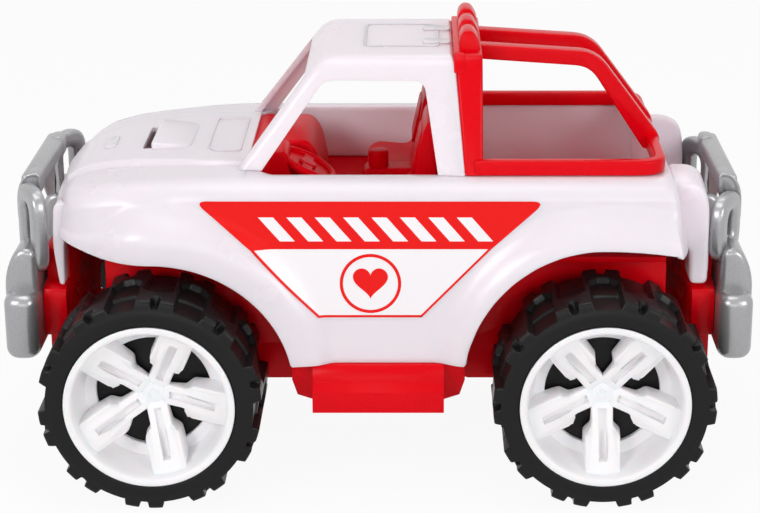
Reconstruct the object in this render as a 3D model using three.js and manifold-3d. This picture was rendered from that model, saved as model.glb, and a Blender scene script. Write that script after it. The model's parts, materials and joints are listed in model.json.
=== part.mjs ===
// Push-along toy ambulance: an open-backed off-road car on four big wheels.
// Millimetres. +X is forward, +Y is the car's left side, +Z is up.
// The origin is on the ground, midway between the axles.
import * as THREE from "three";
import { mergeVertices } from "three/addons/utils/BufferGeometryUtils.js";
import Module from "manifold-3d";

const wasm = await Module();
wasm.setup();

// Wheels and axles
const wheelbase = 211;
const overTyres = 220;
const tyreRadius = 52;
const tyreWidth = 47;
const lugHeight = 3.8;
const shoulderInset = 3;
const sidewallDrop = 6;
const treadPairs = 10;
const lugDegrees = 7.5;
const slotDegrees = 4.4;
const recessEnd = 4;
const recessRamp = 2.5;
const rimRadius = 40;
const rimLipWidth = 3.6;
const rimLipProud = 0.8;
const dishDepth = 22;
const webThickness = 3;
const drumWall = 4;
const hubRadius = 9;
const hubSetback = 4;
const axleRadius = 2.5;
const spokeCount = 5;
const spokeThickness = 6;
const spokeOuterDepth = 6;
const spokeHubDepth = 12;
const windowFrom = 0.48;
const windowWaist = 0.67;
const windowWaistHalf = 0.096;
const windowTo = 0.907;
const windowHalf = 0.198;
const windowCrown = 0.948;
const grooveFrom = 0.33;
const grooveTo = 0.8;
const grooveWidth = 3.2;
const grooveDepth = 3;
const frontWheelTurn = THREE.MathUtils.degToRad(13);

// Body shell
const wall = 3;
const sillHeight = 63;
const sillHalf = 82;
const shoulderHalf = 77;
const shoulderDrop = 8;
const beltHeight = 150;
const beltHalf = 67;
const beltRimWidth = 5.5;
const noseX = 160;
const noseBack = [45, 20, 8, 0];
const noseNarrowing = [4, 9, 20, 42];
const noseDrop = [3, 7, 13, 18];
const noseRiseLoss = [0, 1.5, 3, 5.5];
const tailX = 142;
const tailCorner = 6;
const tailDrop = 3;
const cowlX = 66.5;
const cowlBlend = 12;
const bonnetRise = 7.5;
const bonnetHalf = 44;
const bonnetCrown = 1.13;
const bonnetStep = 2;
const bonnetMargin = 10;
const scoopX = 102;
const scoopLength = 26;
const scoopWidth = 44;
const scoopRise = 4;
const scoopMouth = 1.6;
const noseBottom = 112;
const tailBottom = 95;
const flareHalf = 88;
const flareBand = 12;
const flareBlend = 9;
const archReach = 13.5;
const frontArchRise = 9.5;
const rearArchRise = 16.5;
const frontFlareEnd = 150;
const frontFlareLift = 4;
const frontFlareTuck = 27;
const rearFlareEnd = 147;
const rearFlareFall = 4;
const columnLength = 14;
const columnInner = 46;
const columnOuter = 70;
const columnTop = 150;
const columnRound = 6;
const columnLean = 4;
const noseColumnFront = 4;
const noseColumnLength = 7;
const noseColumnInner = 48;
const noseColumnOuter = 62;
const noseColumnTop = 137;

// Cab upper
const roofHeight = 205;
const roofHalf = 44;
const roofFront = 29;
const roofRear = 35.5;
const roofRound = 7;
const pillarFoot = 12;
const headerDepth = 12;
const cabRearX = 41;
const screenHalf = 50;
const hatchRise = 0.7;
const hatchFront = 8;
const hatchHalf = 25;
const windowRound = 5;

// Roll bar
const hoopDepth = 8;
const postWidth = 8;
const hoopBeam = 8;
const podCount = 3;
const podSpacing = 24.5;
const podWidth = 19;
const podRise = 9;
const barSpacing = 33.4;
const barWidth = 8.5;
const barDepth = 6.5;
const barBendX = 103;
const barFall = 4;
const railHeight = 7;
const railWidth = 5.5;
const railRearX = 138;
const railCorner = 14;

// Interior
const deckHeight = 122;
const deckThickness = 3;
const deckHalf = 70;
const bedDrop = 10;
const dashRise = 31;
const dashDepth = 10;
const dashHumpEnd = 8;
const dashRearX = 30;
const cushionRise = 18;
const seatBackRise = 50;
const seatWidth = 40;
const seatSpacing = 56;
const seatFrontX = 6;
const seatBackX = -20;
const consoleWidth = 15;
const consoleRise = 14;
const consoleFrontX = 9;
const knobX = 1;
const knobRadius = 5;
const knobHeight = 8;
const wheelDiscRadius = 15.5;
const wheelDiscThickness = 3;
const wheelDiscTilt = THREE.MathUtils.degToRad(27);
const wheelDiscX = 35;
const wheelDiscRise = 23;
const columnRadius = 3;

// Chassis
const chassisBottom = 44;
const chassisWall = 2.5;
const towerGap = 8;
const sillBoxHalfLength = 41;
const sillBoxRound = 10;
const towerOverlap = 4;
const frontTowerReach = 26;
const linkHeight = 12;
const bossRadius = 6;
const bossDepth = 12;
const stepHalfLength = 31;
const stepReach = 92;
const stepBottom = 41.5;
const stepTread = 5;
const stepFall = 7.5;
const carrierX = 161.5;
const carrierThickness = 11;
const carrierHalf = 58;
const carrierBottom = 66;
const carrierTop = 92;

// Bumper guards
const guardBarHalf = 74;
const guardBarBottom = 60;
const guardBarTop = 92;
const guardDepth = 17.2;
const guardStandoff = 3;
const guardBarSweep = 22;
const guardBarRound = 6;
const guardShoulderTop = 112;
const guardShoulderHalf = 62;
const guardShoulderSetback = 5;
const guardUprightSpacing = 64;
const guardUprightWidth = 12;
const guardTop = 143;
const guardTube = 10;
const earReach = 28;
const earDrop = 7;
const earBottom = 97;
const earStrap = 6.5;
const earDepth = 9;
const earRound = 11;
const earTurn = THREE.MathUtils.degToRad(18);
const pegRadius = 4;
const pegSpacing = 50;

// Stickers and screws
const stickerThickness = 0.4;
const stickerTopFrontSetback = 31.5;
const stickerTopRearSetback = 35.5;
const stickerFootFrontSetback = 79.5;
const stickerFootRearSetback = 82.5;
const stickerDrop = 1;
const stickerHeight = 56;
const stickerRound = 4;
const screwRadius = 2;
const screwHeadRadius = 4;
const screwHeadHeight = 2.5;
const screwLength = 19;
const screwSink = 1.2;
const legRadius = 5;
const legLift = 8;
const screwX = 30;
const screwY = 40;

// Clearances
const fitGap = 0.3;
const smallestEdge = 0.02;
const overcut = 20;

const axleHeight = tyreRadius;
const axleX = wheelbase / 2;
const tyreInner = overTyres / 2 - tyreWidth;
const towerHalf = tyreInner - towerGap;
const shoulderHeight = beltHeight - shoulderDrop;
const bedFloor = deckHeight - bedDrop;
const dashTop = deckHeight + dashRise;
const cushionTop = deckHeight + cushionRise;
const seatBackTop = deckHeight + seatBackRise;
const consoleTop = deckHeight + consoleRise;
const wheelDiscHeight = deckHeight + wheelDiscRise;

const roundSegments = 28;
const smallSegments = 8;
const hiddenSegments = 12;

// Closed triangle geometry as a solid, with its faces turned outwards.
function solid(geometry) {
  const bare = new THREE.BufferGeometry();
  const loose = geometry.index ? geometry.toNonIndexed() : geometry;
  bare.setAttribute("position", loose.getAttribute("position").clone());
  const merged = mergeVertices(bare, 1e-4);
  const corner = merged.attributes.position;
  const triVerts = new Uint32Array(merged.index.array);
  const a = new THREE.Vector3();
  const b = new THREE.Vector3();
  const c = new THREE.Vector3();
  let volume = 0;
  for (let i = 0; i < triVerts.length; i += 3) {
    a.fromBufferAttribute(corner, triVerts[i]);
    b.fromBufferAttribute(corner, triVerts[i + 1]);
    c.fromBufferAttribute(corner, triVerts[i + 2]);
    volume += a.dot(b.cross(c));
  }
  if (volume < 0) triVerts.reverse();
  const vertProperties = new Float32Array(corner.array);
  return new wasm.Manifold(new wasm.Mesh({ numProp: 3, vertProperties, triVerts }));
}

function joined(...solids) {
  return solids.reduce((whole, next) => whole.add(next));
}

function cut(from, ...tools) {
  return tools.reduce((whole, next) => whole.subtract(next), from);
}

function mesh(name, body, material) {
  const made = body.simplify(smallestEdge).getMesh();
  const geometry = new THREE.BufferGeometry();
  geometry.setAttribute("position", new THREE.BufferAttribute(made.vertProperties, 3));
  geometry.setIndex(new THREE.BufferAttribute(made.triVerts, 1));
  geometry.computeVertexNormals();
  const result = new THREE.Mesh(geometry, material);
  result.name = name;
  return result;
}

// A polygon whose corners are rounded by the given radius.
function rounded(points, radius = 0) {
  const shape = new THREE.Shape();
  points.forEach((point, i) => {
    const corner = new THREE.Vector2(...point);
    const before = new THREE.Vector2(...points[(i + points.length - 1) % points.length]);
    const after = new THREE.Vector2(...points[(i + 1) % points.length]);
    const reachIn = Math.min(radius, before.distanceTo(corner) * 0.49);
    const reachOut = Math.min(radius, after.distanceTo(corner) * 0.49);
    const start = before.clone().sub(corner).setLength(reachIn).add(corner);
    const end = after.clone().sub(corner).setLength(reachOut).add(corner);
    if (i === 0) shape.moveTo(start.x, start.y);
    else shape.lineTo(start.x, start.y);
    if (radius > 0) shape.quadraticCurveTo(corner.x, corner.y, end.x, end.y);
  });
  shape.closePath();
  return shape;
}

function rectangle(a0, a1, b0, b1, radius = 0) {
  return rounded([[a0, b0], [a1, b0], [a1, b1], [a0, b1]], radius);
}

function extrusion(shape, depth, curveSegments) {
  return new THREE.ExtrudeGeometry(shape, { depth, bevelEnabled: false, curveSegments });
}

// An (x, z) outline carried across the car from one y to another.
function acrossY(shape, from, to, curveSegments = 2) {
  const geometry = extrusion(shape, to - from, curveSegments);
  return solid(geometry.rotateX(Math.PI / 2).translate(0, to, 0));
}

// A (y, z) outline carried along the car from one x to another.
function alongXGeometry(shape, from, to, curveSegments = 2) {
  const geometry = extrusion(shape, to - from, curveSegments);
  const turn = new THREE.Matrix4().makeBasis(
    new THREE.Vector3(0, 1, 0),
    new THREE.Vector3(0, 0, 1),
    new THREE.Vector3(1, 0, 0),
  );
  return geometry.applyMatrix4(turn).translate(from, 0, 0);
}

function alongX(shape, from, to, curveSegments = 2) {
  return solid(alongXGeometry(shape, from, to, curveSegments));
}

// A plan outline carried up from one z to another.
function upZ(shape, from, to, curveSegments = 2) {
  return solid(extrusion(shape, to - from, curveSegments).translate(0, 0, from));
}

function block(x0, x1, y0, y1, z0, z1) {
  return upZ(rectangle(x0, x1, y0, y1), z0, z1);
}

// The same outline on both sides of the car.
function bothSides(shape, inner, outer, curveSegments = 2) {
  return joined(
    acrossY(shape, inner, outer, curveSegments),
    acrossY(shape, -outer, -inner, curveSegments),
  );
}

// A revolved (radius, y) profile, its axis along the car's width.
function turned(profile, segments = roundSegments) {
  const points = profile.map(([radius, y]) => new THREE.Vector2(radius, y));
  return solid(new THREE.LatheGeometry(points, segments));
}

function rod(radius, from, to, segments = smallSegments) {
  return turned([[0, from], [radius, from], [radius, to], [0, to]], segments);
}

// A skin through rings of equally many points, closed by a fan at each end.
function loft(rings) {
  const positions = [];
  const face = (...corners) => corners.forEach((corner) => positions.push(...corner));
  const count = rings[0].length;
  for (let i = 0; i + 1 < rings.length; i++) {
    for (let k = 0; k < count; k++) {
      const next = (k + 1) % count;
      face(rings[i][k], rings[i + 1][k], rings[i + 1][next]);
      face(rings[i][k], rings[i + 1][next], rings[i][next]);
    }
  }
  const fan = (ring, forwards) => {
    const middle = [0, 1, 2].map((axis) => ring.reduce((sum, p) => sum + p[axis], 0) / count);
    ring.forEach((point, k) => {
      const next = ring[(k + 1) % count];
      if (forwards) face(middle, point, next);
      else face(middle, next, point);
    });
  };
  fan(rings[0], true);
  fan(rings[rings.length - 1], false);
  const geometry = new THREE.BufferGeometry();
  geometry.setAttribute("position", new THREE.Float32BufferAttribute(positions, 3));
  return geometry;
}

// A geometry and its mirror image on the car's right side.
function withMirror(geometry) {
  const right = geometry.clone().scale(1, -1, 1);
  return joined(solid(geometry), solid(right));
}

const white = new THREE.MeshStandardMaterial({ color: 0xf4eff3, roughness: 0.3, metalness: 0 });
const red = new THREE.MeshStandardMaterial({ color: 0xd8000f, roughness: 0.3, metalness: 0 });
const silver = new THREE.MeshStandardMaterial({ color: 0x8f9194, roughness: 0.4, metalness: 0.5 });
const black = new THREE.MeshStandardMaterial({ color: 0x1d1c1e, roughness: 0.6, metalness: 0 });
const rimWhite = new THREE.MeshStandardMaterial({ color: 0xf2f1f4, roughness: 0.5, metalness: 0 });
const steel = new THREE.MeshStandardMaterial({ color: 0xb0b2b5, roughness: 0.35, metalness: 1 });
const stickerRed = new THREE.MeshStandardMaterial({ color: 0xe8201f, roughness: 0.5, metalness: 0 });

const car = new THREE.Group();
car.name = "toy_ambulance";

// Body shell: sections along the car, each a half outline from the sill up to the centre line.
// narrowing draws the section in, drop lowers the shoulder, rise is the bonnet's crown.
const stations = [
  { x: -tailX, narrowing: tailCorner, drop: tailDrop, rise: 0, bottom: tailBottom },
  { x: -tailX + tailCorner, narrowing: tailCorner * 0.15, drop: 0, rise: 0, bottom: tailBottom },
  { x: -axleX, narrowing: 0, drop: 0, rise: 0, bottom: sillHeight },
  { x: cowlX - wall, narrowing: 0, drop: 0, rise: bonnetRise, bottom: sillHeight },
  { x: cowlX + cowlBlend, narrowing: 0, drop: 0, rise: bonnetRise, bottom: sillHeight },
];
noseBack.forEach((back, i) => {
  stations.push({
    x: noseX - back,
    narrowing: noseNarrowing[i],
    drop: noseDrop[i],
    rise: bonnetRise - noseRiseLoss[i],
    bottom: noseBottom,
  });
});

function bodyRing({ x, narrowing, drop, rise, bottom }, inset) {
  const belt = beltHeight - drop;
  const bulge = Math.min(bonnetHalf, beltHalf - narrowing - bonnetMargin);
  const shoulderBreak = (shoulderHalf - beltHalf) * 0.35;
  const half = [
    [sillHalf - narrowing - inset, inset ? bottom - overcut : bottom],
    [shoulderHalf - narrowing - inset, belt - shoulderDrop - inset * 0.3],
    [shoulderHalf - narrowing - shoulderBreak - inset * 0.9, belt - shoulderDrop * 0.31 - inset * 0.7],
    [beltHalf - narrowing - inset * 0.6, belt - inset],
    [bulge + bonnetStep - inset * 0.5, belt - inset],
    [bulge - bonnetStep - inset * 0.5, belt + rise - inset],
    [bulge * 0.5, belt + rise * bonnetCrown - inset],
  ];
  const left = half.map(([y, z]) => [x, y, z]);
  const right = half.map(([y, z]) => [x, -y, z]).reverse();
  return [...left, ...right];
}

const inside = (station, i, all) => {
  const shift = i === 0 ? wall : i === all.length - 1 ? -wall : 0;
  return bodyRing({ ...station, x: station.x + shift }, wall);
};

// The lip of an arch: an ellipse round the wheel, then a sweep out to the end of the car.
function archPath(rise, endX, endLift) {
  const points = [];
  const reach = tyreRadius + archReach;
  const top = tyreRadius + rise;
  const start = Math.asin((sillHeight + 2 - axleHeight) / top);
  const arcSteps = 7;
  for (let i = 0; i <= arcSteps; i++) {
    const angle = start + (Math.PI / 2 - start) * (i / arcSteps);
    points.push([axleX - reach * Math.cos(angle), axleHeight + top * Math.sin(angle)]);
  }
  const sweep = new THREE.QuadraticBezierCurve(
    new THREE.Vector2(axleX, axleHeight + top),
    new THREE.Vector2((axleX + endX) / 2, axleHeight + top),
    new THREE.Vector2(endX, axleHeight + top + endLift),
  );
  const sweepSteps = 4;
  sweep.getPoints(sweepSteps).slice(1).forEach((p) => points.push([p.x, p.y]));
  return points;
}

// Stations along an arch, with the direction away from the wheel and how far the end has swept in.
function archStations(path) {
  return path.map(([x, z], i) => {
    const [x0, z0] = path[Math.max(i - 1, 0)];
    const [x1, z1] = path[Math.min(i + 1, path.length - 1)];
    const away = new THREE.Vector2(z0 - z1, x1 - x0).normalize();
    const swept = Math.max(0, (x - axleX) / (path[path.length - 1][0] - axleX));
    return { x, z, away, swept };
  });
}

function flareRings(path, tuck, inset) {
  const inner = tyreInner - overcut * 0.5;
  return archStations(path).map(({ x, z, away, swept }) => {
    const out = flareHalf - tuck * swept * swept - inset;
    const narrow = 1 - 0.4 * swept * (tuck > 0 ? 1 : 0);
    const band = flareBand * narrow;
    const blend = (flareBand + flareBlend) * narrow - inset;
    const seat = Math.min(beltHalf + wall, out - wall) - inset;
    const start = inset ? -1 : 0;
    const at = (offset, y) => [x + away.x * offset, y, z + away.y * offset];
    return [
      at(start, inner),
      at(start, out),
      at(band - inset * 0.5, out - 0.6),
      at((band + blend) / 2, (out + seat) / 2 - 0.5),
      at(blend, seat),
      at(blend, inner),
    ];
  });
}

function mirroredEnds(path) {
  return path.map(([x, z]) => [-x, z]);
}

function bodyShell() {
  const frontPath = archPath(frontArchRise, frontFlareEnd, frontFlareLift);
  const rearPath = archPath(rearArchRise, rearFlareEnd, -rearFlareFall);
  const skin = solid(loft(stations.map((station) => bodyRing(station, 0))));
  const hollow = solid(loft(stations.map(inside)));
  const flares = [];
  const flareHollows = [];
  const turnEnd = (geometry) => geometry.rotateZ(Math.PI);
  flares.push(withMirror(loft(flareRings(frontPath, frontFlareTuck, 0))));
  flareHollows.push(withMirror(loft(flareRings(frontPath, frontFlareTuck, wall))));
  flares.push(withMirror(turnEnd(loft(flareRings(rearPath, 0, 0)))));
  flareHollows.push(withMirror(turnEnd(loft(flareRings(rearPath, 0, wall)))));

  const archOpening = (path, endX, endZ) =>
    rounded([...path, [endX, endZ], [endX, 0], [path[0][0], 0]]);
  const frontEnd = frontPath[frontPath.length - 1];
  const frontOpening = archOpening(frontPath, noseX + overcut, frontEnd[1] + overcut * 0.4);
  const rearOpening = archOpening(mirroredEnds(rearPath), -rearFlareEnd - 1, 0);
  const archInner = tyreInner - towerGap * 0.5;

  const columnProfile = (inset) => {
    const rear = inset - tailX - columnLength;
    const front = wall - tailX + inset / wall;
    const low = inset ? tailBottom - overcut : tailBottom;
    return rounded(
      [
        [front, low],
        [rear, low],
        [rear, (tailBottom + columnTop) / 2],
        [rear + columnLean, columnTop - columnRound - inset],
        [rear + 2 * columnLean, columnTop - inset],
        [front, columnTop - inset],
      ],
      columnLean,
    );
  };
  const columns = bothSides(columnProfile(0), columnInner, columnOuter);
  const columnHollows = bothSides(columnProfile(wall), columnInner + wall, columnOuter - wall);
  const noseColumnX = noseX - noseColumnFront;
  const noseColumn = rounded(
    [
      [noseColumnX - noseColumnLength, carrierTop + 1],
      [noseColumnX - 1, carrierTop + 1],
      [noseColumnX, (carrierTop + noseColumnTop) / 2],
      [noseColumnX - noseColumnLength * 0.4, noseColumnTop],
      [noseColumnX - noseColumnLength, noseColumnTop],
    ],
    wall,
  );

  const rim = beltHalf - beltRimWidth;
  const openingFront = cowlX - wall - 1;
  const opening = rounded(
    [
      [openingFront, wall - screenHalf],
      [openingFront, screenHalf - wall],
      [openingFront - pillarFoot, rim],
      [-tailX + 2 * wall, rim],
      [-tailX + 2 * wall, -rim],
      [openingFront - pillarFoot, -rim],
    ],
    columnRound,
  );

  const crown = beltHeight + bonnetRise - noseDrop[0] * 0.7;
  const scoopFront = scoopX + scoopLength / 2;
  const scoopRear = scoopX - scoopLength / 2;
  const scoopHalf = scoopWidth / 2;
  const scoop = rounded(
    [
      [scoopFront, crown - 1],
      [scoopFront, crown + scoopRise],
      [scoopRear, crown + scoopRise * 0.8],
      [scoopRear, crown - 1],
    ],
    scoopRise / 2,
  );
  const mouth = block(
    scoopFront - scoopRise,
    scoopFront + overcut,
    wall - scoopHalf,
    scoopHalf - wall,
    crown + scoopRise - 1 - scoopMouth,
    crown + scoopRise - 1,
  );

  let shell = cut(joined(skin, ...flares, columns), hollow, ...flareHollows);
  shell = cut(
    shell,
    bothSides(frontOpening, archInner, flareHalf + overcut),
    bothSides(rearOpening, archInner, flareHalf + overcut),
    upZ(opening, deckHeight, columnTop + overcut),
    columnHollows,
  );
  shell = joined(
    shell,
    acrossY(scoop, -scoopHalf, scoopHalf),
    bothSides(noseColumn, noseColumnInner, noseColumnOuter),
  );
  return cut(shell, mouth);
}

// Cab upper: rings from the waist to the roof, each a rectangle with softened corners.
const cabFoot = beltHeight + fitGap;
const roofEdge = roofHeight - roofRound;
const level = (z, front, rear, frontHalf, rearHalf) => ({ z, front, rear, frontHalf, rearHalf });
const cabLevels = [
  level(cabFoot, cowlX, cabRearX, screenHalf + 6, beltHalf - 1.5),
  level(roofEdge, roofFront + 3, roofRear + 1, roofHalf + 1, roofHalf + 2),
  level(roofHeight - 2, roofFront - 1, roofRear + 0.5, roofHalf - 1, roofHalf),
  level(roofHeight, roofFront - 6, roofRear, roofHalf - 7, roofHalf - 6),
];

function cabRing({ z, front, rear, frontHalf, rearHalf }, inset) {
  const soften = wall;
  const corners = [
    [front - inset, frontHalf - inset, -1, -1],
    [-rear + inset, rearHalf - inset, 1, -1],
  ];
  const left = corners.flatMap(([x, y, inX, inY], i) => {
    const along = [x + inX * soften, y];
    const middle = [x + inX * soften * 0.3, y + inY * soften * 0.3];
    const across = [x, y + inY * soften];
    return i === 0 ? [across, middle, along] : [along, middle, across];
  });
  const right = left.map(([x, y]) => [x, -y]).reverse();
  return [...left, ...right].map(([x, y]) => [x, y, z]);
}

function cabRoof() {
  const skin = solid(loft(cabLevels.map((ring) => cabRing(ring, 0))));
  const [foot, edge] = cabLevels;
  const below = overcut / (edge.z - foot.z);
  const drawn = (key) => foot[key] + (foot[key] - edge[key]) * below;
  const lower = {
    z: foot.z - overcut,
    front: drawn("front"),
    rear: drawn("rear"),
    frontHalf: drawn("frontHalf"),
    rearHalf: drawn("rearHalf"),
  };
  const ceiling = { ...cabLevels[2], z: roofHeight - wall };
  const hollow = solid(loft([lower, edge, ceiling].map((ring) => cabRing(ring, wall))));
  const low = foot.z - overcut;
  const high = edge.z - 4;
  const frontSlope = (foot.front - edge.front) / (edge.z - foot.z);
  const rearSlope = (foot.rear - edge.rear) / (edge.z - foot.z);
  const screenLine = (z) => foot.front - pillarFoot - (z - foot.z) * frontSlope;
  const rearLine = (z) => -foot.rear + pillarFoot + (z - foot.z) * rearSlope;
  const window = rounded(
    [[screenLine(low), low], [screenLine(high), high], [rearLine(high), high], [rearLine(low), low]],
    windowRound,
  );
  const slopeOf = (key) => (foot[key] - edge[key]) / (edge.z - foot.z);
  const opening = (half, top, slope) => {
    const atTop = half - (top - foot.z) * slope;
    const atLow = half + (foot.z - low) * slope;
    return rounded([[-atLow, low], [atLow, low], [atTop, top], [-atTop, top]], windowRound);
  };
  const screenTop = roofHeight - headerDepth;
  const middle = (foot.front - pillarFoot - foot.rear) / 2;
  const hatch = rectangle(-roofRear + roofRound, hatchFront, -hatchHalf, hatchHalf, windowRound);
  return cut(
    skin.add(upZ(hatch, roofHeight - 1, roofHeight + hatchRise)),
    hollow,
    acrossY(window, -sillHalf, sillHalf),
    alongX(opening(screenHalf, screenTop, slopeOf("frontHalf")), 0, cowlX + overcut),
    alongX(
      opening(foot.rearHalf - postWidth, screenTop, slopeOf("rearHalf")),
      -cabRearX - overcut,
      middle - overcut,
    ),
  );
}

// Roll bar: a hoop behind the cab, three lamp pods, two bars down to the tail and a rail round the bed.
function rollBar() {
  const foot = cabFoot;
  const top = roofHeight + 0.5;
  const footHalf = beltHalf - 1;
  const lean = (footHalf - roofHalf - 2) / (roofEdge - foot);
  const outline = (inset, crown) => {
    const shoulderZ = roofEdge - inset * 0.5;
    const atShoulder = footHalf - (shoulderZ - foot) * lean - inset;
    const low = inset ? foot - overcut : foot;
    const atLow = footHalf + (foot - low) * lean - inset;
    return rounded(
      [[-atLow, low], [atLow, low], [atShoulder, shoulderZ], [atShoulder - 4, crown],
        [-atShoulder + 4, crown], [-atShoulder, shoulderZ]],
      inset ? 4 : 2,
    );
  };
  const rearFace = -cabRearX - hoopDepth - fitGap;
  const cabBack = (z) => {
    const share = (z - foot) / (roofEdge - foot);
    return -cabRearX + (cabRearX - roofRear - 1) * share - fitGap * 1.5;
  };
  const cabSpace = rounded([
    [cabBack(foot - overcut), foot - overcut],
    [cabBack(roofEdge), roofEdge],
    [-roofRear - fitGap * 1.5, top + overcut],
    [0, top + overcut],
    [0, foot - overcut],
  ]);
  const hoop = cut(
    alongX(outline(0, top), rearFace, -roofRear),
    alongX(outline(postWidth, top - hoopBeam), rearFace - 1, 0),
    acrossY(cabSpace, -sillHalf, sillHalf),
  );
  const podFront = -roofRear - 3;
  const pod = rounded(
    [[podFront, top - 1], [podFront - 1, top + podRise - 2], [podFront - 3, top + podRise],
      [podFront - 6, top + podRise], [rearFace + 2.5, top + podRise * 0.5], [rearFace, top - 1]],
    2,
  );
  const pods = [];
  for (let i = 0; i < podCount; i++) {
    const y = (i - (podCount - 1) / 2) * podSpacing;
    pods.push(acrossY(pod, y - podWidth / 2, y + podWidth / 2, 2));
  }
  const railTop = foot + railHeight;
  const barEndX = railRearX - railWidth / 2;
  const bar = rounded(
    [[rearFace + 1, top - 0.5], [-barBendX - 2, top - 0.5 - barFall],
      [-barEndX - barDepth * 0.5, railTop], [-barEndX - barDepth * 0.3, railTop - 3],
      [-barEndX + barDepth * 0.8, railTop - 3],
      [-barBendX + 1, top - 0.5 - barFall - barDepth], [rearFace + 1, top - 0.5 - barDepth]],
    6,
  );
  const bars = bothSides(bar, (barSpacing - barWidth) / 2, (barSpacing + barWidth) / 2);
  const railOuter = rectangle(-railRearX, rearFace + 4 + railCorner, -footHalf, footHalf, railCorner);
  const inner = footHalf - railWidth;
  const railInner = rectangle(-railRearX + railWidth, 0, -inner, inner, railCorner - railWidth);
  const rail = cut(
    upZ(railOuter, foot, railTop, 5),
    upZ(railInner, foot - 1, railTop + 1, 5),
    block(rearFace + 4, 0, -sillHalf, sillHalf, foot - 1, railTop + 1),
  );
  return joined(hoop, ...pods, bars, rail);
}

// Interior: cab deck with dashboard, seats and console, stepping down to the bed floor.
const legBottom = chassisBottom + legLift + fitGap;
const screwHeadFoot = chassisBottom + screwSink;
const screwTip = screwHeadFoot + screwLength;

function postAt(x, y, radius, from, to) {
  const geometry = new THREE.CylinderGeometry(radius, radius, to - from, smallSegments);
  return solid(geometry.rotateX(Math.PI / 2).translate(x, y, (from + to) / 2));
}

function atLegs(make) {
  return [[1, 1], [1, -1], [-1, 1], [-1, -1]].map(([sx, sy]) => make(sx * screwX, sy * screwY));
}

function interior() {
  const deckLow = deckHeight - deckThickness;
  const bedLow = bedFloor - deckThickness;
  const dashFront = cowlX - wall - 2;
  const stepX = -cabRearX - 4;
  const bedEnd = -tailX + wall + 3;
  const profile = rounded([
    [dashFront, deckLow],
    [dashFront, deckHeight],
    [stepX, deckHeight],
    [stepX, bedFloor],
    [bedEnd, bedFloor],
    [bedEnd, bedLow],
    [stepX + deckThickness, bedLow],
    [stepX + deckThickness, deckLow],
  ]);
  const low = deckHeight - 1;
  const dashHalf = screenHalf - 2 * wall;
  const dash = rounded(
    [
      [dashFront, low],
      [dashFront, dashTop - 3],
      [dashFront - dashDepth / 2, dashTop - 2],
      [dashFront - dashDepth + 1, dashTop - 4],
      [dashFront - dashDepth, low],
    ],
    2,
  );
  const hump = rounded(
    [
      [dashFront - 2, low],
      [dashFront - dashDepth * 0.6, dashTop],
      [dashRearX + 4, dashTop],
      [dashRearX, dashTop - dashDepth],
      [dashRearX - 3, low],
    ],
    3,
  );
  const seat = rounded(
    [
      [seatFrontX, low],
      [seatFrontX + 2, cushionTop - 3],
      [seatFrontX - 4, cushionTop],
      [seatBackX + 3, cushionTop - 2],
      [seatBackX - 2, seatBackTop - 3],
      [seatBackX - 5, seatBackTop],
      [seatBackX - 9, seatBackTop - 2],
      [seatBackX - 7, low],
    ],
    3,
  );
  const seatInner = (seatSpacing - seatWidth) / 2;
  const seatOuter = (seatSpacing + seatWidth) / 2;
  const console = rectangle(seatBackX, consoleFrontX, low, consoleTop, 2);
  const seatHollow = rectangle(
    seatBackX - deckThickness,
    seatFrontX - deckThickness,
    deckLow - 1,
    cushionTop - 2 * deckThickness,
  );
  const humpHollow = rectangle(
    dashRearX + 2 * legRadius,
    dashFront - dashDepth,
    deckLow - 1,
    dashTop - dashDepth,
  );
  const legs = atLegs((x, y) => postAt(x, y, legRadius, legBottom, deckHeight - 1));
  const pilots = atLegs((x, y) => postAt(x, y, screwRadius + fitGap, legBottom - 1, screwTip + 1));
  return cut(
    joined(
      acrossY(profile, -deckHalf, deckHalf),
      acrossY(dash, -dashHalf, dashHalf),
      acrossY(hump, -dashHalf, dashHumpEnd),
      bothSides(seat, seatInner, seatOuter),
      acrossY(console, -consoleWidth / 2, consoleWidth / 2),
      ...legs,
    ),
    bothSides(seatHollow, seatInner + deckThickness, seatOuter - deckThickness),
    acrossY(humpHollow, deckThickness - dashHalf, dashHumpEnd - deckThickness),
    ...pilots,
  );
}

function gearKnob() {
  const foot = consoleTop + fitGap;
  const profile = [
    [0, 0],
    [knobRadius, 0],
    [knobRadius, knobHeight * 0.6],
    [knobRadius * 0.75, knobHeight * 0.9],
    [0, knobHeight],
  ].map(([radius, z]) => new THREE.Vector2(radius, z));
  const geometry = new THREE.LatheGeometry(profile, hiddenSegments);
  return solid(geometry.rotateX(Math.PI / 2).translate(knobX, 0, foot));
}

function steeringWheel() {
  const thick = wheelDiscThickness;
  const down = (wheelDiscHeight - deckHeight) / Math.cos(wheelDiscTilt) + thick;
  const profile = [
    [0, -down], [columnRadius, -down], [columnRadius, -thick], [wheelDiscRadius - 1, -thick],
    [wheelDiscRadius, -thick / 2], [wheelDiscRadius - 1, 0], [0, 0],
  ].map(([radius, z]) => new THREE.Vector2(radius, z));
  const geometry = new THREE.LatheGeometry(profile, hiddenSegments).rotateX(Math.PI / 2);
  geometry.rotateY(-wheelDiscTilt).translate(wheelDiscX, seatSpacing / 2, wheelDiscHeight);
  const belowDeck = block(0, cowlX, 0, sillHalf, 0, deckHeight + fitGap);
  return cut(solid(geometry), belowDeck);
}

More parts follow.
